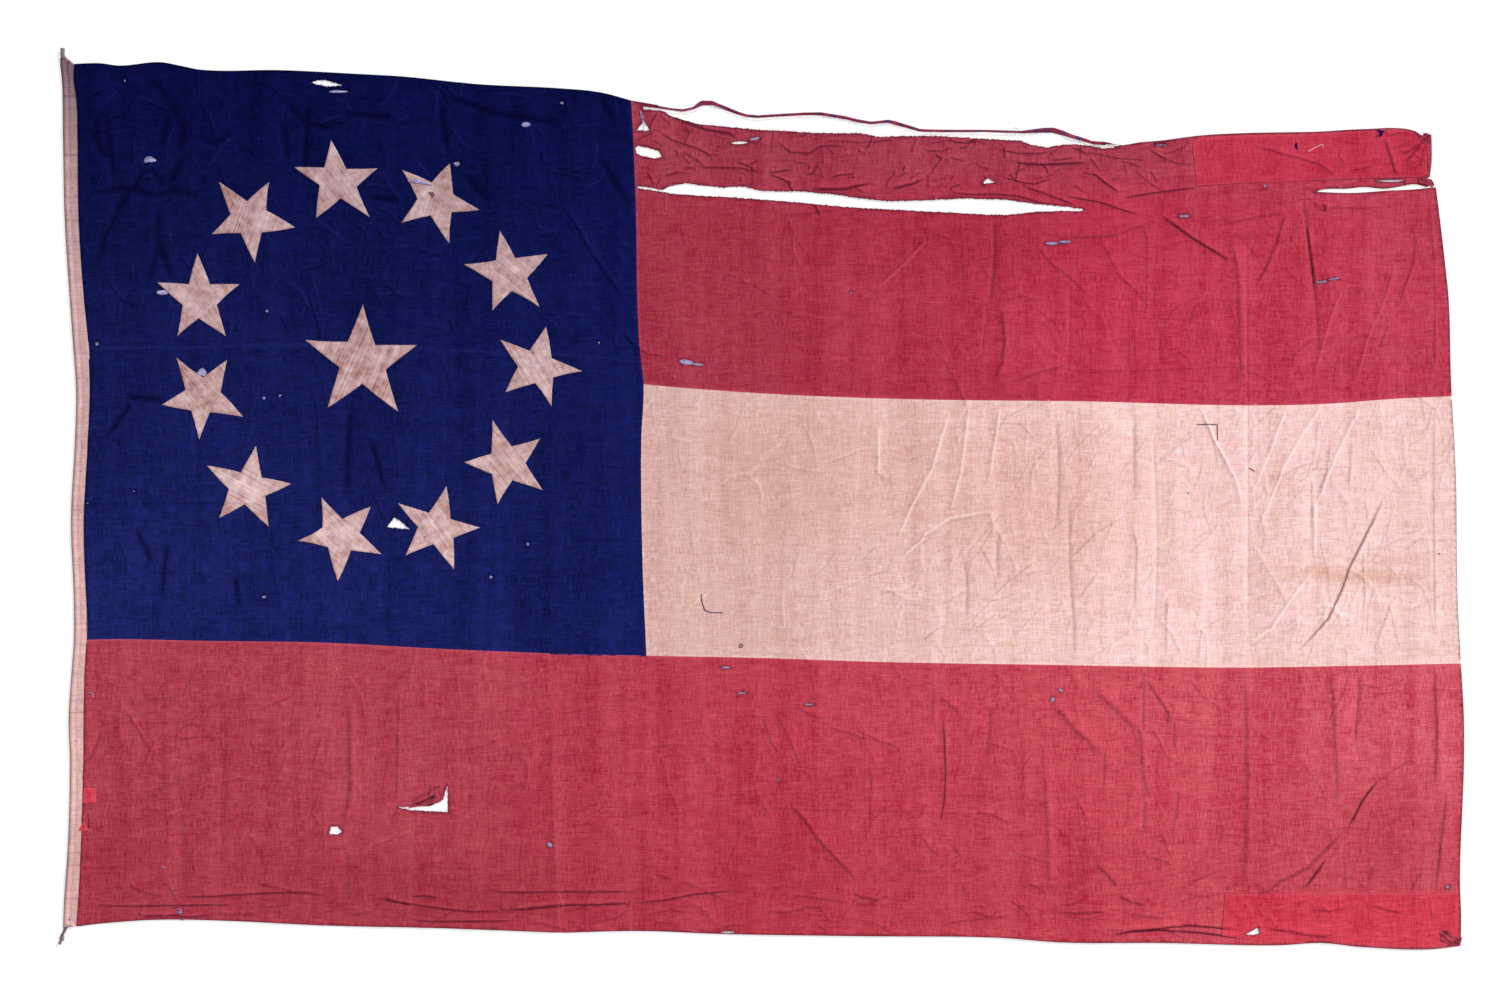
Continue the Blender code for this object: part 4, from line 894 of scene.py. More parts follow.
def cloth_material(name, head, foot, grime_and_shade, highlight_and_edge, uneven=(1.0, 1.5, 1.6), contrast=1.5, cloudy=0.2,
                   mottled=0.2, flecked=0.0, tinted=0.8, warm=(1.0, 0.90, 0.76), soil=(0.82, 0.68, 0.57),
                   coarse=1.0, between=(0, 1590), gloss=0.1):
    """A cloth's material. head and foot are its dye at even steps toward the fly, at the upper and
    lower end of between. The dark colour after them is the grime of flecks and free edges and the
    painted shade of folds, and the next is the painted highlight of fold crowns and seams; warm and
    soil tint it. Shade dims the three primaries by uneven shares."""
    mat = bpy.data.materials.new(name)
    mat.use_nodes = True
    tree = mat.node_tree
    shader = tree.nodes["Principled BSDF"]
    place = put(tree, "TexCoord").outputs["Object"]
    grain = put(tree, "Attribute", attribute_name="grain", attribute_type="GEOMETRY").outputs["Vector"]
    cloth = group_of(tree, weave, Place=grain, Coarseness=coarse)
    years = group_of(tree, soiling, Place=place)
    light = math_of(tree, "MULTIPLY", cloth["Shade"], contrast)
    light = math_of(tree, "ADD", light, swing(tree, years["Mottle"], mottled))
    light = math_of(tree, "ADD", light, swing(tree, years["Cloud"], cloudy))
    dimmed = vector_of(tree, "MULTIPLY_ADD", light, uneven, (1, 1, 1))
    dimmed = vector_of(tree, "MAXIMUM", dimmed, LEAST_LIGHT)
    colour = vector_of(tree, "MULTIPLY", dye_of(tree, place, head, foot, between), dimmed)
    colour = soiled_and_shaded(tree, colour, years, grime_and_shade, highlight_and_edge, flecked, tinted, warm, soil)
    feed(tree, shader.inputs["Base Color"], colour)
    bump = put(tree, "Bump")
    for socket, source in (("Strength", 0.5), ("Distance", THREAD_DEPTH), ("Height", cloth["Relief"])):
        feed(tree, bump.inputs[socket], source)
    for socket, source in (("Normal", bump.outputs[0]), ("Roughness", 0.92), ("Specular IOR Level", gloss)):
        feed(tree, shader.inputs[socket], source)
    return mat


# %% The cloths of the flag
# In each cloth the first colour after the dyes is grime and painted shade, and the next is painted highlight.
RED = {"uneven": (1.08, 3.2, 2.3), "tinted": 0.5, "warm": (0.92, 1.22, 1.0), "soil": (0.80, 0.63, 0.67)}
navy = cloth_material("navy_bunting", [(7, 12, 62), (13, 20, 80)], [(28, 36, 98), (11, 16, 78)],
                      (3, 4, 34), (34, 41, 108), uneven=(1.2, 1.0, 0.9), contrast=3.0, cloudy=0.5,
                      mottled=0.6, between=(613, 1458), gloss=0.02)
red_top = cloth_material("red_bunting_top",
                         [(158, 57, 72), (160, 57, 72), (163, 57, 74), (173, 58, 78), (192, 66, 86)],
                         [(160, 55, 70), (161, 54, 69), (170, 50, 70), (194, 53, 77), (198, 65, 87)],
                         (84, 18, 40), (206, 82, 98), contrast=1.25, between=(1300, 1380), **RED)
red_foot = cloth_material("red_bunting_foot",
                          [(177, 66, 82), (180, 65, 80), (190, 60, 77), (212, 86, 99), (228, 107, 120)],
                          [(172, 58, 73), (176, 60, 75), (187, 56, 73), (203, 68, 84), (213, 81, 97)],
                          (88, 22, 42), (208, 88, 102), contrast=1.3, **RED)
fresh_red = cloth_material("fresh_red_bunting", [(192, 50, 73)], [(220, 65, 85)], (98, 20, 42),
                           (216, 84, 100), contrast=1.2, **RED)
hem_red = cloth_material("torn_hem_red", [(142, 46, 68)], [(142, 46, 68)], (50, 48, 100), (176, 96, 120),
                         contrast=1.3, **RED)
UNDYED = [(218, 177, 169), (218, 177, 169), (223, 181, 172), (251, 211, 206), (247, 207, 201)]
undyed = cloth_material("undyed_bunting", UNDYED, UNDYED, (146, 100, 104), (255, 236, 230), contrast=1.1,
                        tinted=0.34, cloudy=0.12, mottled=0.14, flecked=0.26)
# On the stars the colour for crowns and rims is darker than the dye, so it paints shade round each star's
# outline.
star_cotton = cloth_material("star_cotton", [(181, 149, 149)], [(207, 172, 169)], (106, 78, 92),
                             (150, 118, 122), contrast=2.1, tinted=0.4, cloudy=0.5, mottled=0.45,
                             flecked=0.55, coarse=0.9, between=(700, 1400))
canvas = cloth_material("heading_canvas", [(193, 159, 158)], [(220, 180, 175)], (84, 60, 80),
                        (226, 190, 186), uneven=(1.0, 1.15, 1.1), contrast=1.25, tinted=0.4, cloudy=0.3,
                        flecked=0.4, coarse=1.3, between=(500, 1300))
hoist_cord = cloth_material("hoist_cord", [(128, 118, 124)], [(120, 106, 122)], (24, 22, 58),
                            (176, 164, 158), coarse=0.6)
print("materials", len(bpy.data.materials))

# %% [markdown]
# ## Sheets of cloth
# A sheet starts as an even net of marks. Marks that follow the creases are added, those that fall
# outside the outline or in a tear are dropped, and the rest are joined into triangles. Each mark is
# set at the height at which the cloth lies there. A Solidify modifier gives the net its thickness.
# Mesh code is used because no primitive has this outline and this lie at once.

# %% Make an object from marks and faces
PIECES = {}
DRAWN_OUT = 9.0


def object_from(name, places, faces, mat, cut=0.0, **values):
    """A piece from places in millimetres (fly, hoist, height), with values kept at its points. A cut
    turns its weave by so many degrees, and draws its slubs out."""
    spots = np.column_stack((places[:, :2] * MM + CORNER, places[:, 2] * MM))
    warp, weft = turned(spots, cut)
    grain = np.column_stack((warp, weft / (DRAWN_OUT if cut else 1.0), spots[:, 2] * 0))
    mesh = bpy.data.meshes.new(name)
    mesh.from_pydata(spots.tolist(), [], faces if isinstance(faces, list) else faces.tolist())
    for label, value in values.items():
        mesh.attributes.new(label, "FLOAT", "POINT").data.foreach_set("value", np.asarray(value, np.float32))
    mesh.attributes.new("grain", "FLOAT_VECTOR", "POINT").data.foreach_set("vector", grain.ravel())
    mesh.materials.append(mat)
    piece = bpy.data.objects.new(name, mesh)
    bpy.context.scene.collection.objects.link(piece)
    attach(piece, "root")
    PIECES[name] = piece
    return piece


# %% Finish or join pieces
def select_only(*pieces):
    bpy.ops.object.select_all(action="DESELECT")
    for piece in pieces:
        piece.select_set(True)
    bpy.context.view_layer.objects.active = pieces[0]


def finish_with(piece, kind, **settings):
    """Adds a modifier to a piece and applies it."""
    select_only(piece)
    modifier = piece.modifiers.new(kind.lower(), kind)
    for setting, value in settings.items():
        setattr(modifier, setting, value)
    bpy.ops.object.modifier_apply(modifier=modifier.name)


def smooth(piece, degrees=50):
    select_only(piece)
    bpy.ops.object.shade_smooth_by_angle(angle=math.radians(degrees))


def join(name, parts):
    """Several pieces as one."""
    for part in parts:
        PIECES.pop(part.name, None)
    select_only(*parts)
    bpy.ops.object.join()
    parts[0].name = name
    parts[0].data.name = name
    PIECES[name] = parts[0]
    return parts[0]


# %% Spread marks over an outline
ROW_SHARE = 0.866  # rows this far apart make a net of even triangles
MERGED = 1.5


def thinned(extra, low, high):
    """The extra marks that lie in a box, no more than one to each small square."""
    if len(extra):
        extra = extra[np.all((extra > low) & (extra < high), axis=1)]
    if len(extra):
        _, first = np.unique(np.round(extra / MERGED).astype(int), axis=0, return_index=True)
        extra = extra[np.sort(first)]
    return extra


def net(rings, pitch, extra, clear):
    """An even net of marks inside the first ring and outside the others, and its triangles."""
    rim = np.vstack(rings)
    low, high = rings[0].min(0), rings[0].max(0)
    rows = np.arange(low[1], high[1], pitch * ROW_SHARE)
    cols = np.arange(low[0], high[0], pitch)
    flies, hoists = np.meshgrid(cols, rows)
    flies = flies + (np.arange(len(rows)) % 2)[:, None] * pitch / 2
    marks = np.column_stack((flies.ravel(), hoists.ravel()))
    extra = thinned(extra, low, high)
    if len(extra):
        marks = np.vstack((marks[away_from(marks, extra) > pitch * 0.5], extra))
    marks = marks[in_cloth(marks, rings)]
    marks = marks[away_from(marks, rim) > clear]
    edges, start = [], 0
    for ring in rings:
        count = len(ring)
        edges += [(start + i, start + (i + 1) % count) for i in range(count)]
        start += count
    corners = [Vector(m) for m in np.vstack((rim, marks))]
    corners, _, triangles, *_ = delaunay_2d_cdt(corners, edges, [], 0, 1e-4)
    corners = np.array([tuple(m) for m in corners])
    triangles = np.array([t for t in triangles if len(t) == 3])
    return corners, triangles[in_cloth(corners[triangles].mean(axis=1), rings)]


def used_only(marks, triangles):
    used, packed = np.unique(triangles, return_inverse=True)
    return marks[used], packed.reshape(triangles.shape)


# %% [markdown]
# ## Old stains, dust and one painted shade
# Damp, rust and handling have left soft clouds on the cloth. Each has a middle, a length,
# a height and a lean. Strengths above nought are brown stains, and those below it grey dust. Both
# darken the dye, each with its own tint. The broad brown cloud beside the tuck at the foot of the fly
# is no old mark but painted shade along that fold.

# %% Stains, dust and one painted shade
Blot = namedtuple("Blot", "fly hoist long tall strength lean", defaults=(0,))
BLOTS = [Blot(*row) for row in (
    (2290, 656, 105, 14, 0.8, -2), (2210, 668, 50, 10, 0.35, 4), (2345, 684, 80, 9, 0.35),
    # The middle cloud of the next row, beside the tuck at the foot of the fly, is painted shade along that
    # fold.
    (1987, 614, 26, 18, 0.35), (2345, 205, 150, 115, 0.78), (2107, 182, 80, 70, 0.25),
    (1700, 200, 260, 110, 0.12), (1085, 880, 60, 130, -0.35), (1180, 980, 160, 40, -0.2),
    (1236, 105, 1500, 85, 0.44), (1658, 1262, 260, 62, 0.66), (1588, 1180, 160, 60, 0.2),
    (2040, 1282, 260, 50, 0.3), (2375, 1290, 60, 110, 0.5), (1740, 1375, 120, 50, 0.25),
    (1450, 865, 440, 120, 0.40), (1764, 735, 170, 130, 0.46), (1447, 750, 330, 60, 0.16),
    (690, 55, 130, 40, 0.6), (655, 115, 170, 45, 0.3))]


def blots(points):
    total = np.zeros(len(points))
    for blot in BLOTS:
        x, y = turned(points - (blot.fly, blot.hoist), blot.lean)
        total += blot.strength * np.exp(-((x / blot.long)**2 + (y / blot.tall)**2))
    return total


print(len(BLOTS), "stains")

# %% [markdown]
# ## Laying a sheet
# A hem is two layers of cloth, so a panel stands up a little along its free edges, but not where a
# neighbour is sewn over it. Along a seam the edge is painted pale, a painted highlight on the lapped
# edge, and along a free or torn edge it is dark with handling. The flat size of each sheet is its own
# outline, because the cloth lies flat.

# %% Lay a sheet
RIM = 2.4
SEAM_GAP = 5.0      # an edge nearer than this to a neighbour's is a seam
SEAM_FADE = 8.0
HEM_WIDTH = 10.5
HEM_FADE = 2.0
HEM_RISE = 0.55
RAW_EDGES = (((2195, 1318), (2440, 1352)),)


def sewn(points):
    """True where an outer edge is sewn and not torn."""
    torn = [np.all((points > low) & (points < high), axis=1) for low, high in RAW_EDGES]
    return ~np.any(torn, axis=0)


def lay_sheet(name, rings, mat, thick, height_at, pitch=7.0, extra=(), clear=2.2, drop=None, doubled=True,
              cut=0.0, seams=None):
    """A sheet between its rings whose face lies at height_at, with its thickness below. Near the
    places in seams its edge is painted pale, a painted highlight, and elsewhere it is dark with
    handling; without seams its whole outer edge takes the seam's mark. Round its holes it is darkened."""
    marks, triangles = net(rings, pitch, np.asarray(extra), clear)
    if drop is not None:
        triangles = triangles[~inside(marks[triangles].mean(axis=1), drop)]
    marks, triangles = used_only(marks, triangles)
    height, stain = height_at(marks)
    outer = away_from(marks, rings[0])
    if doubled:
        free = 1 if seams is None else np.clip((away_from(marks, seams) - SEAM_GAP) / SEAM_FADE, 0, 1)
        height = height + HEM_RISE * np.clip((HEM_WIDTH - outer) / HEM_FADE, 0, 1) * sewn(marks) * free
    # rim above nought is the painted highlight of a seam, below nought the grime of a free or torn edge or of
    # a hole
    rim = np.clip(1 - outer / RIM, 0, 1)
    if seams is not None:
        edge = outer < RIM
        rim[edge] *= np.where(away_from(marks[edge], seams) < SEAM_GAP, 1, -1)
    if len(rings) > 1:
        rim -= np.clip(1 - away_from(marks, np.vstack(rings[1:])) / RIM, 0, 1)
    places = np.column_stack((marks, height))
    piece = object_from(name, places, triangles, mat, cut, stain=stain, rim=rim, blot=blots(marks))
    area = sum(p.area for p in piece.data.polygons)
    finish_with(piece, "SOLIDIFY", thickness=thick * MM, offset=-1)
    smooth(piece)
    print(name, len(piece.data.polygons), "faces", round(area, 4), "m2")
    return piece


# %% [markdown]
# ## The panels
# Two widths of navy make the canton, and the bars are red, undyed and red again. Neighbours meet in
# lapped seams: each panel's edge is drawn out a little, so that the one above hides the join. Moths
# and hard weather have left small holes in all of them, listed here by their middle, length, width
# and lean.

# %% Small holes and slits
Hole = namedtuple("Hole", "fly hoist long wide lean", defaults=(0,))
HOLES = {
    "canton_upper": ((495, 1508, 33, 4), (184, 1155, 20, 9), (702, 1381, 10, 8), (824, 1450, 14, 7),
                     (118, 1527, 3.4, 3), (887, 1488, 4, 2.4), (952, 1066, 3, 3), (368, 1122, 3, 3),
                     (69, 1064, 4, 4)),
    "canton_lower": ((254, 1014, 16, 14), (134, 805, 3.4, 3), (53, 784, 4, 4), (827, 712, 3, 3),
                     (363, 969, 4, 3), (391, 973, 4, 3), (363, 619, 4, 3), (762, 654, 4, 3)),
    "top_bar": ((1199, 1418, 30, 5, 2), (1226, 1425, 20, 5, 10), (1845, 1413, 48, 4),
                (1940, 1414, 24, 2.6), (1982, 1289, 21, 4), (1749, 1241, 21, 4), (1772, 1244, 21, 3),
                (2222, 1173, 22, 3.4, 6), (2244, 1178, 20, 2.6, 8), (1106, 1032, 23, 7, -9),
                (1127, 1028, 19, 2, -5), (2344, 1351, 46, 3), (1396, 1154, 4, 4), (2124, 1342, 4, 4)),
    "bottom_bar_hoist": ((866, 183, 9, 6, -40), (650, 262, 41, 7, -10), (215, 64, 9, 5)),
    "bottom_bar_fly": ((1175, 495, 19, 3, -3), (1204, 450, 18, 3), (1322, 430, 16, 2.2), (1269, 297, 4, 4),
                       (1751, 438, 9, 6, 60), (1765, 455, 9, 3.4, -30), (2445, 109, 7, 5),
                       (1179, 29, 25, 3), (2435, 15, 5, 5))}
HOLES = {node: [Hole(*row) for row in rows] for node, rows in HOLES.items()}


def in_place(hole, x, y):
    """The place of a mark that is x along a hole and y across it."""
    lean = math.radians(hole.lean)
    return (hole.fly + x * math.cos(lean) - y * math.sin(lean),
            hole.hoist + x * math.sin(lean) + y * math.cos(lean))


def hole_ring(hole, seed):
    """A jagged closed ring, pointed at both ends where the hole is a slit."""
    chance = random.Random(seed)
    count = max(8, round(hole.long / 2.2))
    slit = hole.wide < hole.long / 3
    points = []
    for i in range(count):
        turn = 2 * math.pi * (i + chance.uniform(-0.25, 0.25)) / count
        x = math.cos(turn) * hole.long / 2
        pinch = abs(math.sin(turn)) ** 0.6 if slit else chance.uniform(0.7, 1.15)
        y = math.sin(turn) * hole.wide / 2 * pinch
        points.append(in_place(hole, x, y))
    return np.array(points)


print(sum(len(holes) for holes in HOLES.values()), "small holes")

# %% The torn strip's own marks
# Along the fly: how far up the hoist the strip lies, and how wide it is.
STRIP = ((1030, 1485, 6), (1056, 1481, 5), (1081, 1477, 4), (1100, 1475, 5), (1118, 1479, 5),
         (1133, 1488, 9), (1151, 1488, 9), (1167, 1482, 7), (1192, 1472, 6), (1211, 1466, 5),
         (1232, 1464, 5), (1258, 1466, 5), (1313, 1469, 5), (1343, 1469, 6), (1387, 1462, 6),
         (1406, 1457, 6), (1431, 1453, 5), (1461, 1456, 6), (1473, 1453, 7), (1494, 1447, 6),
         (1517, 1440, 5), (1549, 1439, 5), (1633, 1439, 4), (1697, 1437, 5), (1734, 1440, 9),
         (1751, 1440, 10), (1769, 1435, 9), (1785, 1429, 9), (1806, 1423, 7), (1822, 1418, 5),
         (1843, 1416, 5))
ZONE_ABOVE, ZONE_BELOW = 9, 1
flies, hoists, widths = np.array(STRIP, float)[1:-1].T
strip_zone = np.vstack((np.column_stack((flies, hoists + ZONE_ABOVE)),
                        np.column_stack((flies, hoists - ZONE_BELOW - widths / 2))[::-1]))
print("strip", round(flies[-1] - flies[0]), "mm along the fly")

# %% Lay the panels
LAP = 0.9          # how far a panel is drawn out at its seams
LAP_FLAT = 3.0
LAP_REACH = 9.0
PANEL = CLOTH - 0.1
TEAR_SEED, HOLE_SEED = 20, 50
PANELS = (("white_bar", undyed, 0.0, "undyed_bunting"), ("top_bar", red_top, 0.25, "red_bunting"),
          ("canton_lower", navy, 0.30, "navy_bunting"), ("canton_upper", navy, 0.50, "navy_bunting"),
          ("bottom_bar_fly", red_foot, 0.30, "red_bunting"),
          ("bottom_bar_hoist", red_foot, 0.45, "red_bunting"))


def panel_rings(node):
    """A panel's outline, drawn out for its laps, and the rings of its tears and small holes."""
    outer, *tears = rims(node)
    outer = smooth_ring(outer)
    outer = outer + outward(outer) * LAP
    tears = [torn_ring(tear, seed) for seed, tear in enumerate(tears, TEAR_SEED)]
    small = [hole_ring(hole, seed) for seed, hole in enumerate(HOLES.get(node, ()), HOLE_SEED)]
    return [outer, *tears, *small]


def panel_height(points, ring, over):
    """The lie of the cloth, raised toward the panel's edge where it laps over its neighbours."""
    height, stain = lie(points)
    edge = away_from(points, ring)
    return height + over * np.clip(1 - (edge - LAP_FLAT) / LAP_REACH, 0, 1), stain


RINGS = {node: panel_rings(node) for node, *_ in PANELS}
for node, mat, over, slot in PANELS:
    seams = np.vstack([rings[0] for other, rings in RINGS.items() if other != node])
    sheet = lay_sheet(node + "_cloth", RINGS[node], mat, PANEL,
                      lambda points: panel_height(points, RINGS[node][0], over), extra=CREASE_MARKS,
                      drop=strip_zone if node == "top_bar" else None, seams=seams)
    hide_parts(node)

# %% [markdown]
# ## The torn hem strip
# Above the long gap the old hem still hangs on as a narrow strip. It has twisted here and there, and
# in a few stretches its lower side is darkened with painted shade. A sheet can't turn over, so the
# strip is a flat tube that follows its own marks and rolls as it goes.

# %% Sweep a flat tube along marks
def sweep(name, line, widths, heights, lift, mat, sides=8, rolls=None, **values):
    """A closed tube along (fly, hoist) marks, with its own width and height at each of them."""
    line = np.array(line, float)
    side = beside(line)
    turns = 2 * math.pi * np.arange(sides) / sides
    rolls = np.zeros(len(line)) if rolls is None else rolls
    places = []
    for i in range(len(line)):
        across = np.cos(turns) * widths[i] / 2
        up = np.sin(turns) * heights[i] / 2
        out = across * math.cos(rolls[i]) - up * math.sin(rolls[i])
        rise = across * math.sin(rolls[i]) + up * math.cos(rolls[i])
        places.append(np.column_stack((line[i] + side[i] * out[:, None], lift[i] + rise)))
    faces = []
    for i in range(len(line) - 1):
        for j in range(sides):
            k = (j + 1) % sides
            faces.append((i * sides + j, i * sides + k, (i + 1) * sides + k, (i + 1) * sides + j)[::-1])
    faces.append(tuple(range(sides)))
    faces.append(tuple(range(len(line) * sides - sides, len(line) * sides))[::-1])
    places = np.vstack(places)
    values.setdefault("stain", np.zeros(len(places)))
    values.setdefault("rim", np.zeros(len(places)))
    piece = object_from(name, places, faces, mat, **values)
    smooth(piece, 60)
    return piece


# %% The strip
SHADED_UNDERSIDE = ((1024, 1062), (1112, 1140), (1154, 1176), (1728, 1812))  # stretches of the fly where the lower side of the strip carries painted shade
STRIP_SIDES = 8
fine_strip = finer(STRIP, 3.0)
route, widths = fine_strip[:, :2], fine_strip[:, 2]
grey = np.array([any(a < fly < b for a, b in SHADED_UNDERSIDE) for fly in route[:, 0]], float)
turning = 0.45 * swell(route, 60, 8, 31)
low_side = np.tile(np.arange(STRIP_SIDES) > 4, len(route))
# Grime that varies along the strip, and painted shade on the lower side of the tube in those stretches
grime_and_shade = (np.repeat(0.15 + 0.7 * swell(route, 18, 8, 77), STRIP_SIDES)
        + np.repeat(grey, STRIP_SIDES) * low_side * 0.8)
hem_strip = sweep("torn_hem_strip", route, widths * 0.95, np.full(len(route), 1.0),
                  0.65 + np.abs(np.sin(turning)) * widths / 2, hem_red, STRIP_SIDES, turning,
                  stain=np.clip(grime_and_shade, 0, 1))
print("strip made of", len(hem_strip.data.polygons), "faces")

# %% [markdown]
# ## Stars
# Eleven stars stand in a ring round a larger one. Each was cut from cotton, its raw edge turned
# under, and whipped down by hand, so its edges bow a little and its face puckers. A star is a small
# sheet of its own, so that its edge has a true thickness, and it follows the lie of the canton. Each
# was cut at its own slant to the weave.

# %% Lay the stars
STAR_CUTS = (-24, 38, -18, 52, 30, 40, 34, 48, 62, 40, 36, -20)  # degrees, the centre star's first
STAR_SEED = 100
STAR_LIFT = 1.35
THIN = 0.9


def star_rings(node, seed):
    chance = random.Random(seed)
    ring = rims(node)[0]
    points = []
    for a, b in zip(ring, np.roll(ring, -1, axis=0)):
        side = np.array((a[1] - b[1], b[0] - a[0])) / np.linalg.norm(b - a)
        steps = max(2, round(np.linalg.norm(b - a) / 2.6))
        bow = chance.uniform(-1.2, 1.2)
        for i in range(steps):
            s = i / steps
            points.append(a + (b - a) * s + side * (bow * math.sin(math.pi * s) + chance.gauss(0, 0.12)))
    return [np.array(points)]


def star_height(points, ring):
    height, stain = lie(points)
    edge = away_from(points, ring)
    under = 0.35 * np.clip((6 - edge) / 1.5, 0, 1) - 0.5 * np.clip(1 - edge / 1.2, 0, 1)
    pucker = 0.22 * swell(points, 24, 14, 41) + 0.10 * swell(points, 9, 14, 42)
    return height + STAR_LIFT + under + pucker, stain * 0.4


for number in (*range(1, 12), 0):
    node = f"star_{number:02d}" if number else "star_centre"
    rings = star_rings(node, STAR_SEED + number)
    star = lay_sheet(node + "_cotton", rings, star_cotton, THIN, lambda p: star_height(p, rings[0]),
                     pitch=2.8, clear=1.2, doubled=False, cut=STAR_CUTS[number])
    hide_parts(node)

# %% [markdown]
# ## Mends
# Two large patches of newer bunting close the worn fly corners, and two scraps lie by the hoist.
# Their dye is fresher, and their turned edges stand up a little. A patch is a second layer of cloth,
# so it is laid as one, over the folds beneath it.

# %% Lay the patches
PATCH_LIFT = 1.3
PATCH_SEED = 70
PATCHES = (("patch_top_fly", 4.5, CREASE_MARKS, "fresh_red_bunting"),
           ("patch_bottom_fly", 4.5, CREASE_MARKS, "fresh_red_bunting"),
           ("patch_hoist_square", 2.4, (), "red_bunting"), ("patch_hoist_corner", 2.2, (), "red_bunting"))


def patch_height(points, ring):
    height, stain = lie(points)
    edge = away_from(points, ring)
    hem = 0.3 * np.clip((7 - edge) / 1.5, 0, 1)
    return height + PATCH_LIFT + hem - 0.5 * np.clip(1 - edge / 1.4, 0, 1), stain * 0.6


for node, pitch, extra, slot in PATCHES:
    outer, *tears = rims(node)
    rings = [smooth_ring(outer, 3.0), *[torn_ring(tear, PATCH_SEED) for tear in tears]]
    patch = lay_sheet(node + "_cloth", rings, fresh_red, THIN, lambda p: patch_height(p, rings[0]),
                      pitch=pitch, extra=extra, clear=1.4, doubled=False)
    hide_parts(node)

# %% [markdown]
# ## Heading
# A strip of stout canvas binds the hoist. The cord runs inside its outer fold, so the canvas swells
# there, and beyond the swelling its two plies are stitched flat. Years of rolling have pressed folds
# across it. Painted shade darkens those folds, the groove where the swelling ends and the outer side
# of the swelling, and its head has weathered darker than its foot. The cord within is hidden, so one
# sheet whose height swells over it stands for both.

# %% Shape of the heading
CASING_RISE = 4.3
CASING_WIDTH = 11.0
CANVAS_FACE = 2.2
MIDLINE = ((0, 20), (300, 33), (983, 44), (1300, 25), (1600, 12))  # up the hoist, and along the fly
# The folds across the heading: how far up the hoist, and how dark their painted shade is.
HEADING_FOLDS = ((1500, 0.5), (1445, 0.5), (1396, 1.0), (1324, 0.5), (1282, 0.5), (1244, 0.6),
                 (1184, 0.6), (1117, 0.3), (1004, 0.5), (926, 0.3), (796, 0.3), (773, 0.5), (633, 0.3),
                 (536, 0.4), (439, 0.4), (416, 0.9), (246, 0.3), (225, 0.4), (169, 0.6), (147, 0.4),
                 (89, 0.4))
heading_ring = smooth_ring(rims("heading")[0], 2.6)
fold_side = heading_ring[heading_ring[:, 0] < np.interp(heading_ring[:, 1], *zip(*MIDLINE))]


def heading_height(points):
    across = away_from(points, fold_side)
    swollen = np.sin(np.clip(across / CASING_WIDTH, 0, 1) * math.pi) ** 0.8
    height = CANVAS_FACE + CASING_RISE * swollen * (1 + 0.10 * swell(points, 46, 10, 51))
    height += 0.16 * swell(points, 16, 14, 52) + 0.12 * swell(points, 150, 8, 53)
    rows = np.exp(-((across - CASING_WIDTH - 1) / 0.9) ** 2)
    for hoist, dark in HEADING_FOLDS:
        bend = 1.2 * swell(points, 30, 8, round(hoist))
        rows = np.maximum(rows, dark * np.exp(-((points[:, 1] - hoist - bend) / 1.8) ** 2))
    weathered = 0.75 * np.clip((points[:, 1] - 1340) / 200, 0, 1)
    # Painted shade in the folds, in the groove where the swelling ends and on the outer side of the swelling,
    # and the head weathered darker
    return height - 0.45 * rows, 0.42 * rows + 0.30 * np.clip(1 - across / 6, 0, 1) + weathered


# %% Lay the heading
heading = lay_sheet("heading_canvas", [heading_ring], canvas, 1.5, heading_height, pitch=2.9, clear=1.2,
                    doubled=False)
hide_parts("heading")

# %% [markdown]
# ## Hoist cord
# The cord's stout end stands out of the casing at the top, and a thin tail leaves the foot and ends
# in a frayed knot. A bevelled curve would be as smooth as a pipe, so each end is three strands that
# wind round its route, and the knot is one strand that follows a trefoil.

# %% Lay up a cord
CORD_PITCH = 0.8
STRAND_OUT = 0.24    # shares of the cord's thickness
STRAND_THICK = 0.54


def laid_cord(name, line, thick, lift, mat, lay=9.0, strands=3):
    """Strands wound round the marks of a line, joined into one piece."""
    line = finer(line, CORD_PITCH)
    side = beside(line)
    run = np.arange(len(line)) * CORD_PITCH
    parts = []
    for k in range(strands):
        turn = run / lay * 2 * math.pi + k * 2 * math.pi / strands
        out = np.cos(turn) * thick * STRAND_OUT
        rise = lift + np.sin(turn) * thick * STRAND_OUT
        size = np.full(len(line), thick * STRAND_THICK)
        parts.append(sweep(f"{name}_{k}", line + side * out[:, None], size, size, rise, mat))
    return join(name, parts)


# %% The two ends and the knot
STUB = ((9.4, 1566), (9.2, 1571), (9.0, 1577), (9.4, 1584))
TAIL = ((14.6, 38), (13.2, 34.4), (11.8, 31.5), (9.4, 27.5), (7.4, 23.5), (5.8, 19.2), (5.0, 15.2))
KNOT = (4.6, 10.4)
stub = laid_cord("cord_end_top", STUB, 8.0, 4.4, hoist_cord, lay=22.0)
tail = laid_cord("cord_tail", TAIL, 4.6, 2.7, hoist_cord)
turns = np.linspace(0, 2 * math.pi, 60)
knot_line = np.column_stack((KNOT[0] + 2.3 * (np.sin(turns) + 0.6 * np.sin(2 * turns)) * 0.62,
                             KNOT[1] + 2.3 * (np.cos(turns) - 0.6 * np.cos(2 * turns)) * 0.62))
knot_size = np.full(60, 2.6)
knot = sweep("cord_knot", knot_line, knot_size, knot_size, 4.0 - 2.2 * np.sin(3 * turns), hoist_cord)
for piece, node in ((stub, "rope_end_top"), (tail, "rope_tail_bottom"), (knot, "rope_tail_knot")):
    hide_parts(node)
    print(piece.name, len(piece.data.polygons), "faces")

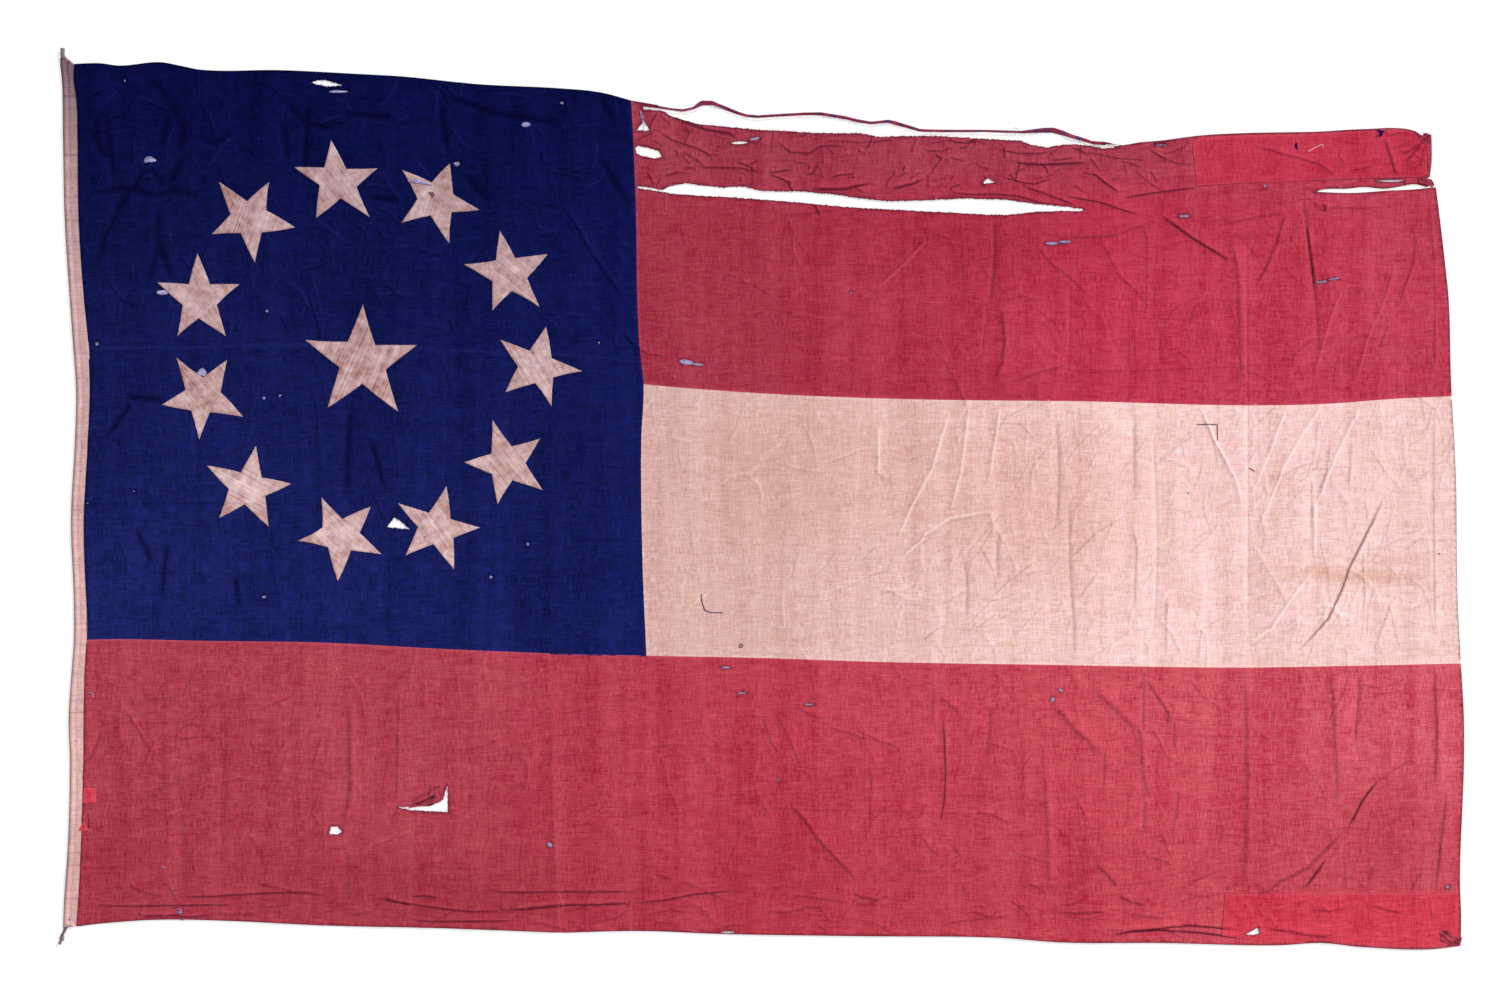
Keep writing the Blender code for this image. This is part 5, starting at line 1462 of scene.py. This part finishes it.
# %% [markdown]
# ## Stitches
# Every seam and hem is sewn twice, close to its edge and again along the raw edge beneath. A stitch
# is a small ridge of thread of five faces, set down at even steps along each panel's outline. Drawn
# in the dye, it would vanish from the side. It stands on the finished cloth, whose height is found
# by looking straight down at it.

# %% Rows of stitches
STITCH = 3.4
STITCH_STEP = 5.2
STITCH_WIDE, STITCH_HIGH = 0.6, 0.3
STITCH_ROWS = (2.6, 9.6)
# A stitch's corners and its ridge, as shares of its length, width and height.
RIDGE = ((-0.5, -0.5, -0.2), (0.5, -0.5, -0.2), (0.5, 0.5, -0.2), (-0.5, 0.5, -0.2), (-0.22, 0, 1),
         (0.22, 0, 1))


def stitch_rows(name, rows, surface, mat):
    """Small ridges of thread at (fly, hoist) with a heading, on a surface that gives heights."""
    spots = np.array([(x, y) for x, y, *_ in rows])
    ways = np.array([(u, v) for *_, u, v in rows])
    sides = left_of(ways)
    heights = surface(spots)
    corners = [np.column_stack((spots + ways * a * STITCH + sides * b * STITCH_WIDE,
                                heights + c * STITCH_HIGH)) for a, b, c in RIDGE]
    places = np.stack(corners, axis=1).reshape(-1, 3)
    faces = []
    for k in range(0, len(places), len(RIDGE)):
        faces += [(k, k + 1, k + 5, k + 4), (k + 1, k + 2, k + 5), (k + 2, k + 3, k + 4, k + 5),
                  (k + 3, k, k + 4), (k + 3, k + 2, k + 1, k)]
    return object_from(name, places, faces, mat, stain=np.zeros(len(places)), rim=np.zeros(len(places)))


# %% Stitch places along an outline
def rows_beside(ring, margin, step=STITCH_STEP):
    """Stitch places along the inside of a ring, skipped where the row would cut a corner."""
    inner = ring - outward(ring) * margin
    gap = away_from(inner, ring)
    keep = (gap > margin * 0.86) & sewn(ring)
    rows, carried = [], 0.0
    for i in range(len(ring) - 1):
        span = inner[i + 1] - inner[i]
        length = float(np.linalg.norm(span))
        if not (keep[i] and keep[i + 1]) or length < 1e-6 or length > 12:
            continue
        way = span / length
        while carried < length:
            spot = inner[i] + way * carried
            rows.append((spot[0], spot[1], way[0], way[1]))
            carried += step
        carried -= length
    return rows


# %% The height of a finished face
LOOK_FROM = 0.05
DOWN = Vector((0, 0, -1))


def surface_of(piece):
    """A function that gives the height of a piece's upper face at each point, in millimetres."""
    tree = BVHTree.FromPolygons([v.co[:] for v in piece.data.vertices],
                                [p.vertices[:] for p in piece.data.polygons])

    def heights(points):
        found = []
        for x, y in points:
            spot = Vector((x * MM + CORNER[0], y * MM + CORNER[1], LOOK_FROM))
            hit = tree.ray_cast(spot, DOWN)[0]
            found.append(hit.z / MM if hit else CLOTH)
        return np.array(found)
    return heights


# %% Sew the panels
for node, mat, _, slot in PANELS:
    rows = [row for margin in STITCH_ROWS for row in rows_beside(RINGS[node][0], margin)]
    if node == "top_bar":
        rows = [row for row in rows if not inside(np.array([row[:2]]), strip_zone)[0]]
    sewing = stitch_rows(node + "_stitches", rows, surface_of(PIECES[node + "_cloth"]), mat)
    print(node, len(rows), "stitches")

# %% [markdown]
# ## Flaps, knots and loose threads
# Where cloth has torn in a corner, the freed corner has curled back and creased, and at the corners
# of the flag scraps have rolled up into small knots. Each is a small sheet over its place, with fine
# folds along its own lean. Round the tears the weave has ravelled, and where moths have grazed, a few
# pale threads still cross the hole. Hair on the cloth would be lost when the flag is saved as meshes,
# so a thread is a thin three-sided tube along its own marks.

# %% Flaps and knots
Scrap = namedtuple("Scrap", "name mat lift dark lean marks")
SCRAP_SEED = 90
# Each scrap: its name, cloth, lift, share of painted shade, lean of its folds, and outline.
SCRAPS = (
    Scrap("corner_tear_flap", red_foot, 1.0, 0.35, 32,
          ((616, 247), (622, 257), (628, 267), (638, 275), (655, 278), (668, 282), (677, 277), (679, 267),
           (674, 259), (668, 256), (663, 257), (651, 254), (632, 250))),
    Scrap("heading_foot_end", canvas, 0.4, 0.45, 60,
          ((15, 60), (21, 41), (16, 33), (11.5, 25), (11.5, 14), (2.5, 12), (4, 21), (9, 31), (12, 42))),
    Scrap("canton_hole_flap", navy, 0.6, 0.2, 0,
          ((148, 1388), (157, 1384.5), (166, 1383.5), (177, 1387), (176, 1376), (160, 1373), (149, 1377))),
    Scrap("strip_hole_flap", red_top, 1.0, 0.3, -30,
          ((1627, 1361), (1641, 1364), (1660, 1352), (1657, 1345), (1643, 1351))),
    Scrap("head_corner_knot", navy, 2.6, 0.7, 60,
          ((2320, 1440), (2325, 1441.5), (2329, 1438), (2334, 1439.5), (2331, 1434), (2327, 1428),
           (2325, 1429.5), (2326.5, 1435))),
    Scrap("fly_corner_knot", red_top, 2.6, 0.75, 40,
          ((2392, 1433), (2401, 1424), (2408, 1435), (2416, 1431), (2416, 1418), (2404, 1416), (2394, 1423))),
    Scrap("fly_corner_tail", red_top, 2.6, 0.5, -25,
          ((2394, 1356), (2404, 1360), (2413, 1351), (2422, 1344), (2418, 1339), (2406, 1346), (2395, 1347))),
    Scrap("foot_corner_knot", red_foot, 2.6, 0.8, -30,
          ((2432, 31), (2443, 34), (2453, 26), (2464, 20), (2470, 21), (2468, 12), (2450, 8), (2434, 14))))


def scrap_height(points, ring, scrap):
    """Raised above the cloth, with fine folds that run along the scrap's lean, and darkened all over with
    painted shade that varies with its folds and grows at its edge.
    """
    height, stain = lie(points)
    run, across = turned(points, scrap.lean)
    folds = swell(np.column_stack((run / 4, across)), 7, 8, 61)
    dark = scrap.dark * (0.7 + 0.8 * folds) + 0.3 * np.clip(1 - away_from(points, ring) / 4, 0, 1)
    return height + scrap.lift + 0.5 * folds, np.clip(stain + dark, 0, 1)


for scrap in SCRAPS:
    ring = np.array(scrap.marks, float)
    ring = torn_ring(ring if ring_area(ring) > 0 else ring[::-1], SCRAP_SEED, 2.0, 0.3)
    flap = lay_sheet(scrap.name, [ring], scrap.mat, THIN, lambda points: scrap_height(points, ring, scrap),
                     pitch=2.6, extra=CREASE_MARKS, clear=1.0, doubled=False)
    {canvas: "canvas_heading", navy: "navy_bunting"}.get(scrap.mat, "red_bunting")

# %% Draw thin threads
THREAD_HIGH = 0.8


def hairs(name, lines, thick, mat, slot):
    """Threads along (fly, hoist, height) marks, as three-sided tubes in one piece."""
    places, faces = [], []
    for line in lines:
        line = np.array(line, float)
        start = len(places)
        for (*spot, rise), out in zip(line, beside(line[:, :2]) * thick / 2):
            places += [(*(spot + out), rise), (*(spot - out), rise), (*spot, rise + thick * THREAD_HIGH)]
        for k in range(start, len(places) - 3, 3):
            faces += [(k + j, k + (j + 1) % 3, k + 3 + (j + 1) % 3, k + 3 + j) for j in range(3)]
        end = len(places) - 3
        faces += [(start + 2, start + 1, start), (end, end + 1, end + 2)]
    piece = object_from(name, np.array(places), faces, mat)
    print(name, len(lines), "threads")


# %% Ends that stand out of a tear
def fringe(ring, seed, reach, step=2.6):
    """Short ends of thread that stand out of a torn ring into its gap."""
    chance = random.Random(seed)
    ends, carried = [], 0.0
    for spot, way, onward in zip(ring, outward(ring), np.roll(ring, -1, axis=0)):
        carried += float(np.linalg.norm(onward - spot))
        if carried < step or chance.random() < 0.3:
            continue
        carried = 0.0
        lean = np.array((-way[1], way[0])) * chance.uniform(-0.6, 0.6)
        run = chance.uniform(0.4, 1.0) * reach
        marks = [spot + way * 1.4, spot - (way + lean) * run * 0.5, spot - (way + lean * 1.6) * run]
        rise = 1.7 + chance.uniform(0, 0.6)
        ends.append([(x, y, rise) for x, y in marks])
    return ends


# %% Threads across a hole
def across_hole(hole, seed, step):
    """The threads that still cross a grazed hole, along it and up it."""
    chance = random.Random(seed)
    lines = []
    for lies_along in (True, False):
        reach, width = (hole.long / 2, hole.wide / 2) if lies_along else (hole.wide / 2, hole.long / 2)
        count = max(1, round(2 * width / step))
        for i in range(count):
            off = -width + (i + chance.uniform(0.2, 0.8)) * 2 * width / count
            run = (reach + 1.2) * math.sqrt(max(0.1, 1 - (off / width) ** 2))
            marks = [(s * run, off + chance.gauss(0, 0.25)) for s in (-1, -0.3, 0.4, 1)]
            marks = marks if lies_along else [(y, x) for x, y in marks]
            lines.append([(*in_place(hole, x, y), 1.8) for x, y in marks])
    return lines


# %% Thread of each kind
lint_blue = cloth_material("lint_blue", [(176, 172, 216)], [(168, 164, 210)], (90, 90, 140), (190, 188, 220))
lint_red = cloth_material("lint_red", [(170, 92, 120)], [(176, 98, 124)], (120, 60, 90), (200, 150, 180))
lint_orange = cloth_material("lint_orange", [(228, 122, 102)], [(228, 122, 102)], (150, 70, 60),
                             (240, 160, 140))
dark_thread = cloth_material("dark_thread", [(40, 34, 86)], [(52, 44, 92)], (20, 20, 50), (80, 76, 120))
print("materials", len(bpy.data.materials))

# %% Ravelled edges and grazed holes
GRAZED = 25  # a hole in a bar is still crossed by threads if it is shorter than this
FRINGE_SEED, CROSSED_SEED, SPANNED_SEED = 300, 400, 450
TEAR_FRINGE, HOLE_FRINGE = 2.2, 2.0
SPANNED = (Hole(161, 1387, 17, 12), Hole(702, 1381, 9, 6))
blue_ends, red_ends = [], []
for node, *_ in PANELS:
    canton = node.startswith("canton")
    ends = blue_ends if canton else red_ends
    tears = len(rims(node)) - 1
    for i, ring in enumerate(RINGS[node][1:]):
        ring = ring[::-1] if ring_area(ring) < 0 else ring
        ends += fringe(ring, FRINGE_SEED + i, TEAR_FRINGE if i < tears else HOLE_FRINGE)
    for i, hole in enumerate(HOLES.get(node, ())):
        if canton or hole.long < GRAZED:
            blue_ends += across_hole(hole, CROSSED_SEED + i, 1.5)
for seed, hole in enumerate(SPANNED, SPANNED_SEED):
    blue_ends += across_hole(hole, seed, 1.3)
hairs("canton_ravellings", blue_ends, 0.9, lint_blue, "navy_bunting")
hairs("bar_ravellings", red_ends, 0.6, lint_red, "red_bunting")

# %% Where the stray threads lie
DARK_THREADS = (((2004, 922), (2024, 923), (2040, 922), (2040.5, 905), (2040, 894)),
                ((1132, 624), (1134, 608), (1139, 595), (1150, 591.5), (1170, 591)),
                ((2096, 846), (2101, 843), (2106, 840)), ((1988, 803), (1990, 801)),
                ((2429, 696), (2432, 694)), ((1702, 1412), (1705, 1410), (1703, 1408)),
                ((21, 54), (20.6, 48), (21, 43)), ((31, 367), (32.5, 365)),
                ((54, 228), (55.3, 217), (51, 206)), ((43, 171), (43, 160)), ((39.5, 147), (40, 143)),
                ((42, 80), (43.5, 77)), ((143.6, 63), (148, 57.5)), ((203, 72), (209, 71)),
                ((213, 53), (221, 50)))
PATCH_THREADS = (((2178, 1418), (2178.6, 1412), (2179, 1407)),
                 ((2179.6, 1417), (2180.2, 1411), (2180.6, 1406.5)), ((2177, 1415), (2177.3, 1409)),
                 ((2319, 1428), (2326, 1434), (2331, 1440)), ((2402, 1436), (2410, 1424), (2414, 1418)))
SEWING_END = (((2200, 1402.8), (2213.6, 1410.1), (2224.6, 1415.8), (2226.4, 1410)),)
PALE_THREADS = (((2212, 1172), (2222, 1174), (2232, 1175)), ((2235, 1177), (2245, 1179), (2254, 1180)),
                ((2325, 1350.5), (2340, 1351.5), (2366, 1352)), ((183, 144.5), (188, 143), (190, 142)),
                ((52, 451), (61, 450), (62, 443)), ((212, 71), (217, 68), (217, 60)),
                ((1681, 1443), (1686, 1444.6), (1690, 1441)),
                ((1024, 1475), (1027, 1462), (1030, 1450), (1031, 1436)),
                ((1026, 1474), (1031, 1458), (1033, 1447)))
STAR_DARN = (((616, 1351), (630, 1348), (645, 1346), (658, 1344)),
             ((622, 1352.5), (640, 1348.5), (652, 1346)))
STAR_TEAR = (((653, 1331), (657, 1327), (661, 1322)), ((657, 1331), (661, 1329), (663, 1325)))
FRAYED = (((425, 478), (505, 502), 60), ((258, 484), (330, 500), 16))  # low, high, threads
LOOP_MIDDLE, LOOP_REACH = (1202, 533), 3.2
turns = np.linspace(0, 2 * math.pi, 14)
loop = LOOP_MIDDLE + LOOP_REACH * np.column_stack((np.cos(turns), np.sin(turns)))


# %% Lay the stray threads
def on_cloth(marks, lift=0.35):
    marks = finer(marks, 2.5)
    return np.column_stack((marks[:, :2], lie(marks[:, :2])[0] + lift))


def frayed_ends(low, high, count, chance):
    """Short ends that lie about along the warp and the weft, within a box."""
    for _ in range(count):
        fly, hoist = chance.uniform(low[0], high[0]), chance.uniform(low[1], high[1])
        lean = chance.choice((0, math.pi / 2)) + chance.gauss(0, 0.2)
        run = chance.uniform(1.5, 4)
        yield on_cloth(((fly, hoist), (fly + run * math.cos(lean), hoist + run * math.sin(lean))), 0.5)


chance = random.Random(77)
frayed = [end for area in FRAYED for end in frayed_ends(*area, chance)]
hairs("dark_threads", [on_cloth(marks) for marks in (*DARK_THREADS, loop)], 1.3, dark_thread, "navy_bunting")
hairs("foot_frayed_threads", frayed, 0.9, lint_orange, "red_bunting")
for name, lines, lift, thick, mat, slot in (
        ("star_darn", STAR_DARN, 1.9, 2.2, lint_blue, "star_cotton"),
        ("star_tear", STAR_TEAR, 2.0, 1.6, dark_thread, "navy_bunting"),
        ("patch_threads", PATCH_THREADS, PATCH_LIFT, 1.5, dark_thread, "navy_bunting"),
        ("sewing_end", SEWING_END, PATCH_LIFT, 1.4, undyed, "red_bunting"),
        ("pale_threads", PALE_THREADS, 1.2, 1.1, lint_blue, "navy_bunting")):
    hairs(name, [on_cloth(marks, lift) for marks in lines], thick, mat, slot)

# %% [markdown]
# ## Count the pieces

# %% Pieces and faces
print("pieces", len(PIECES), "faces", sum(len(p.data.polygons) for p in PIECES.values()))
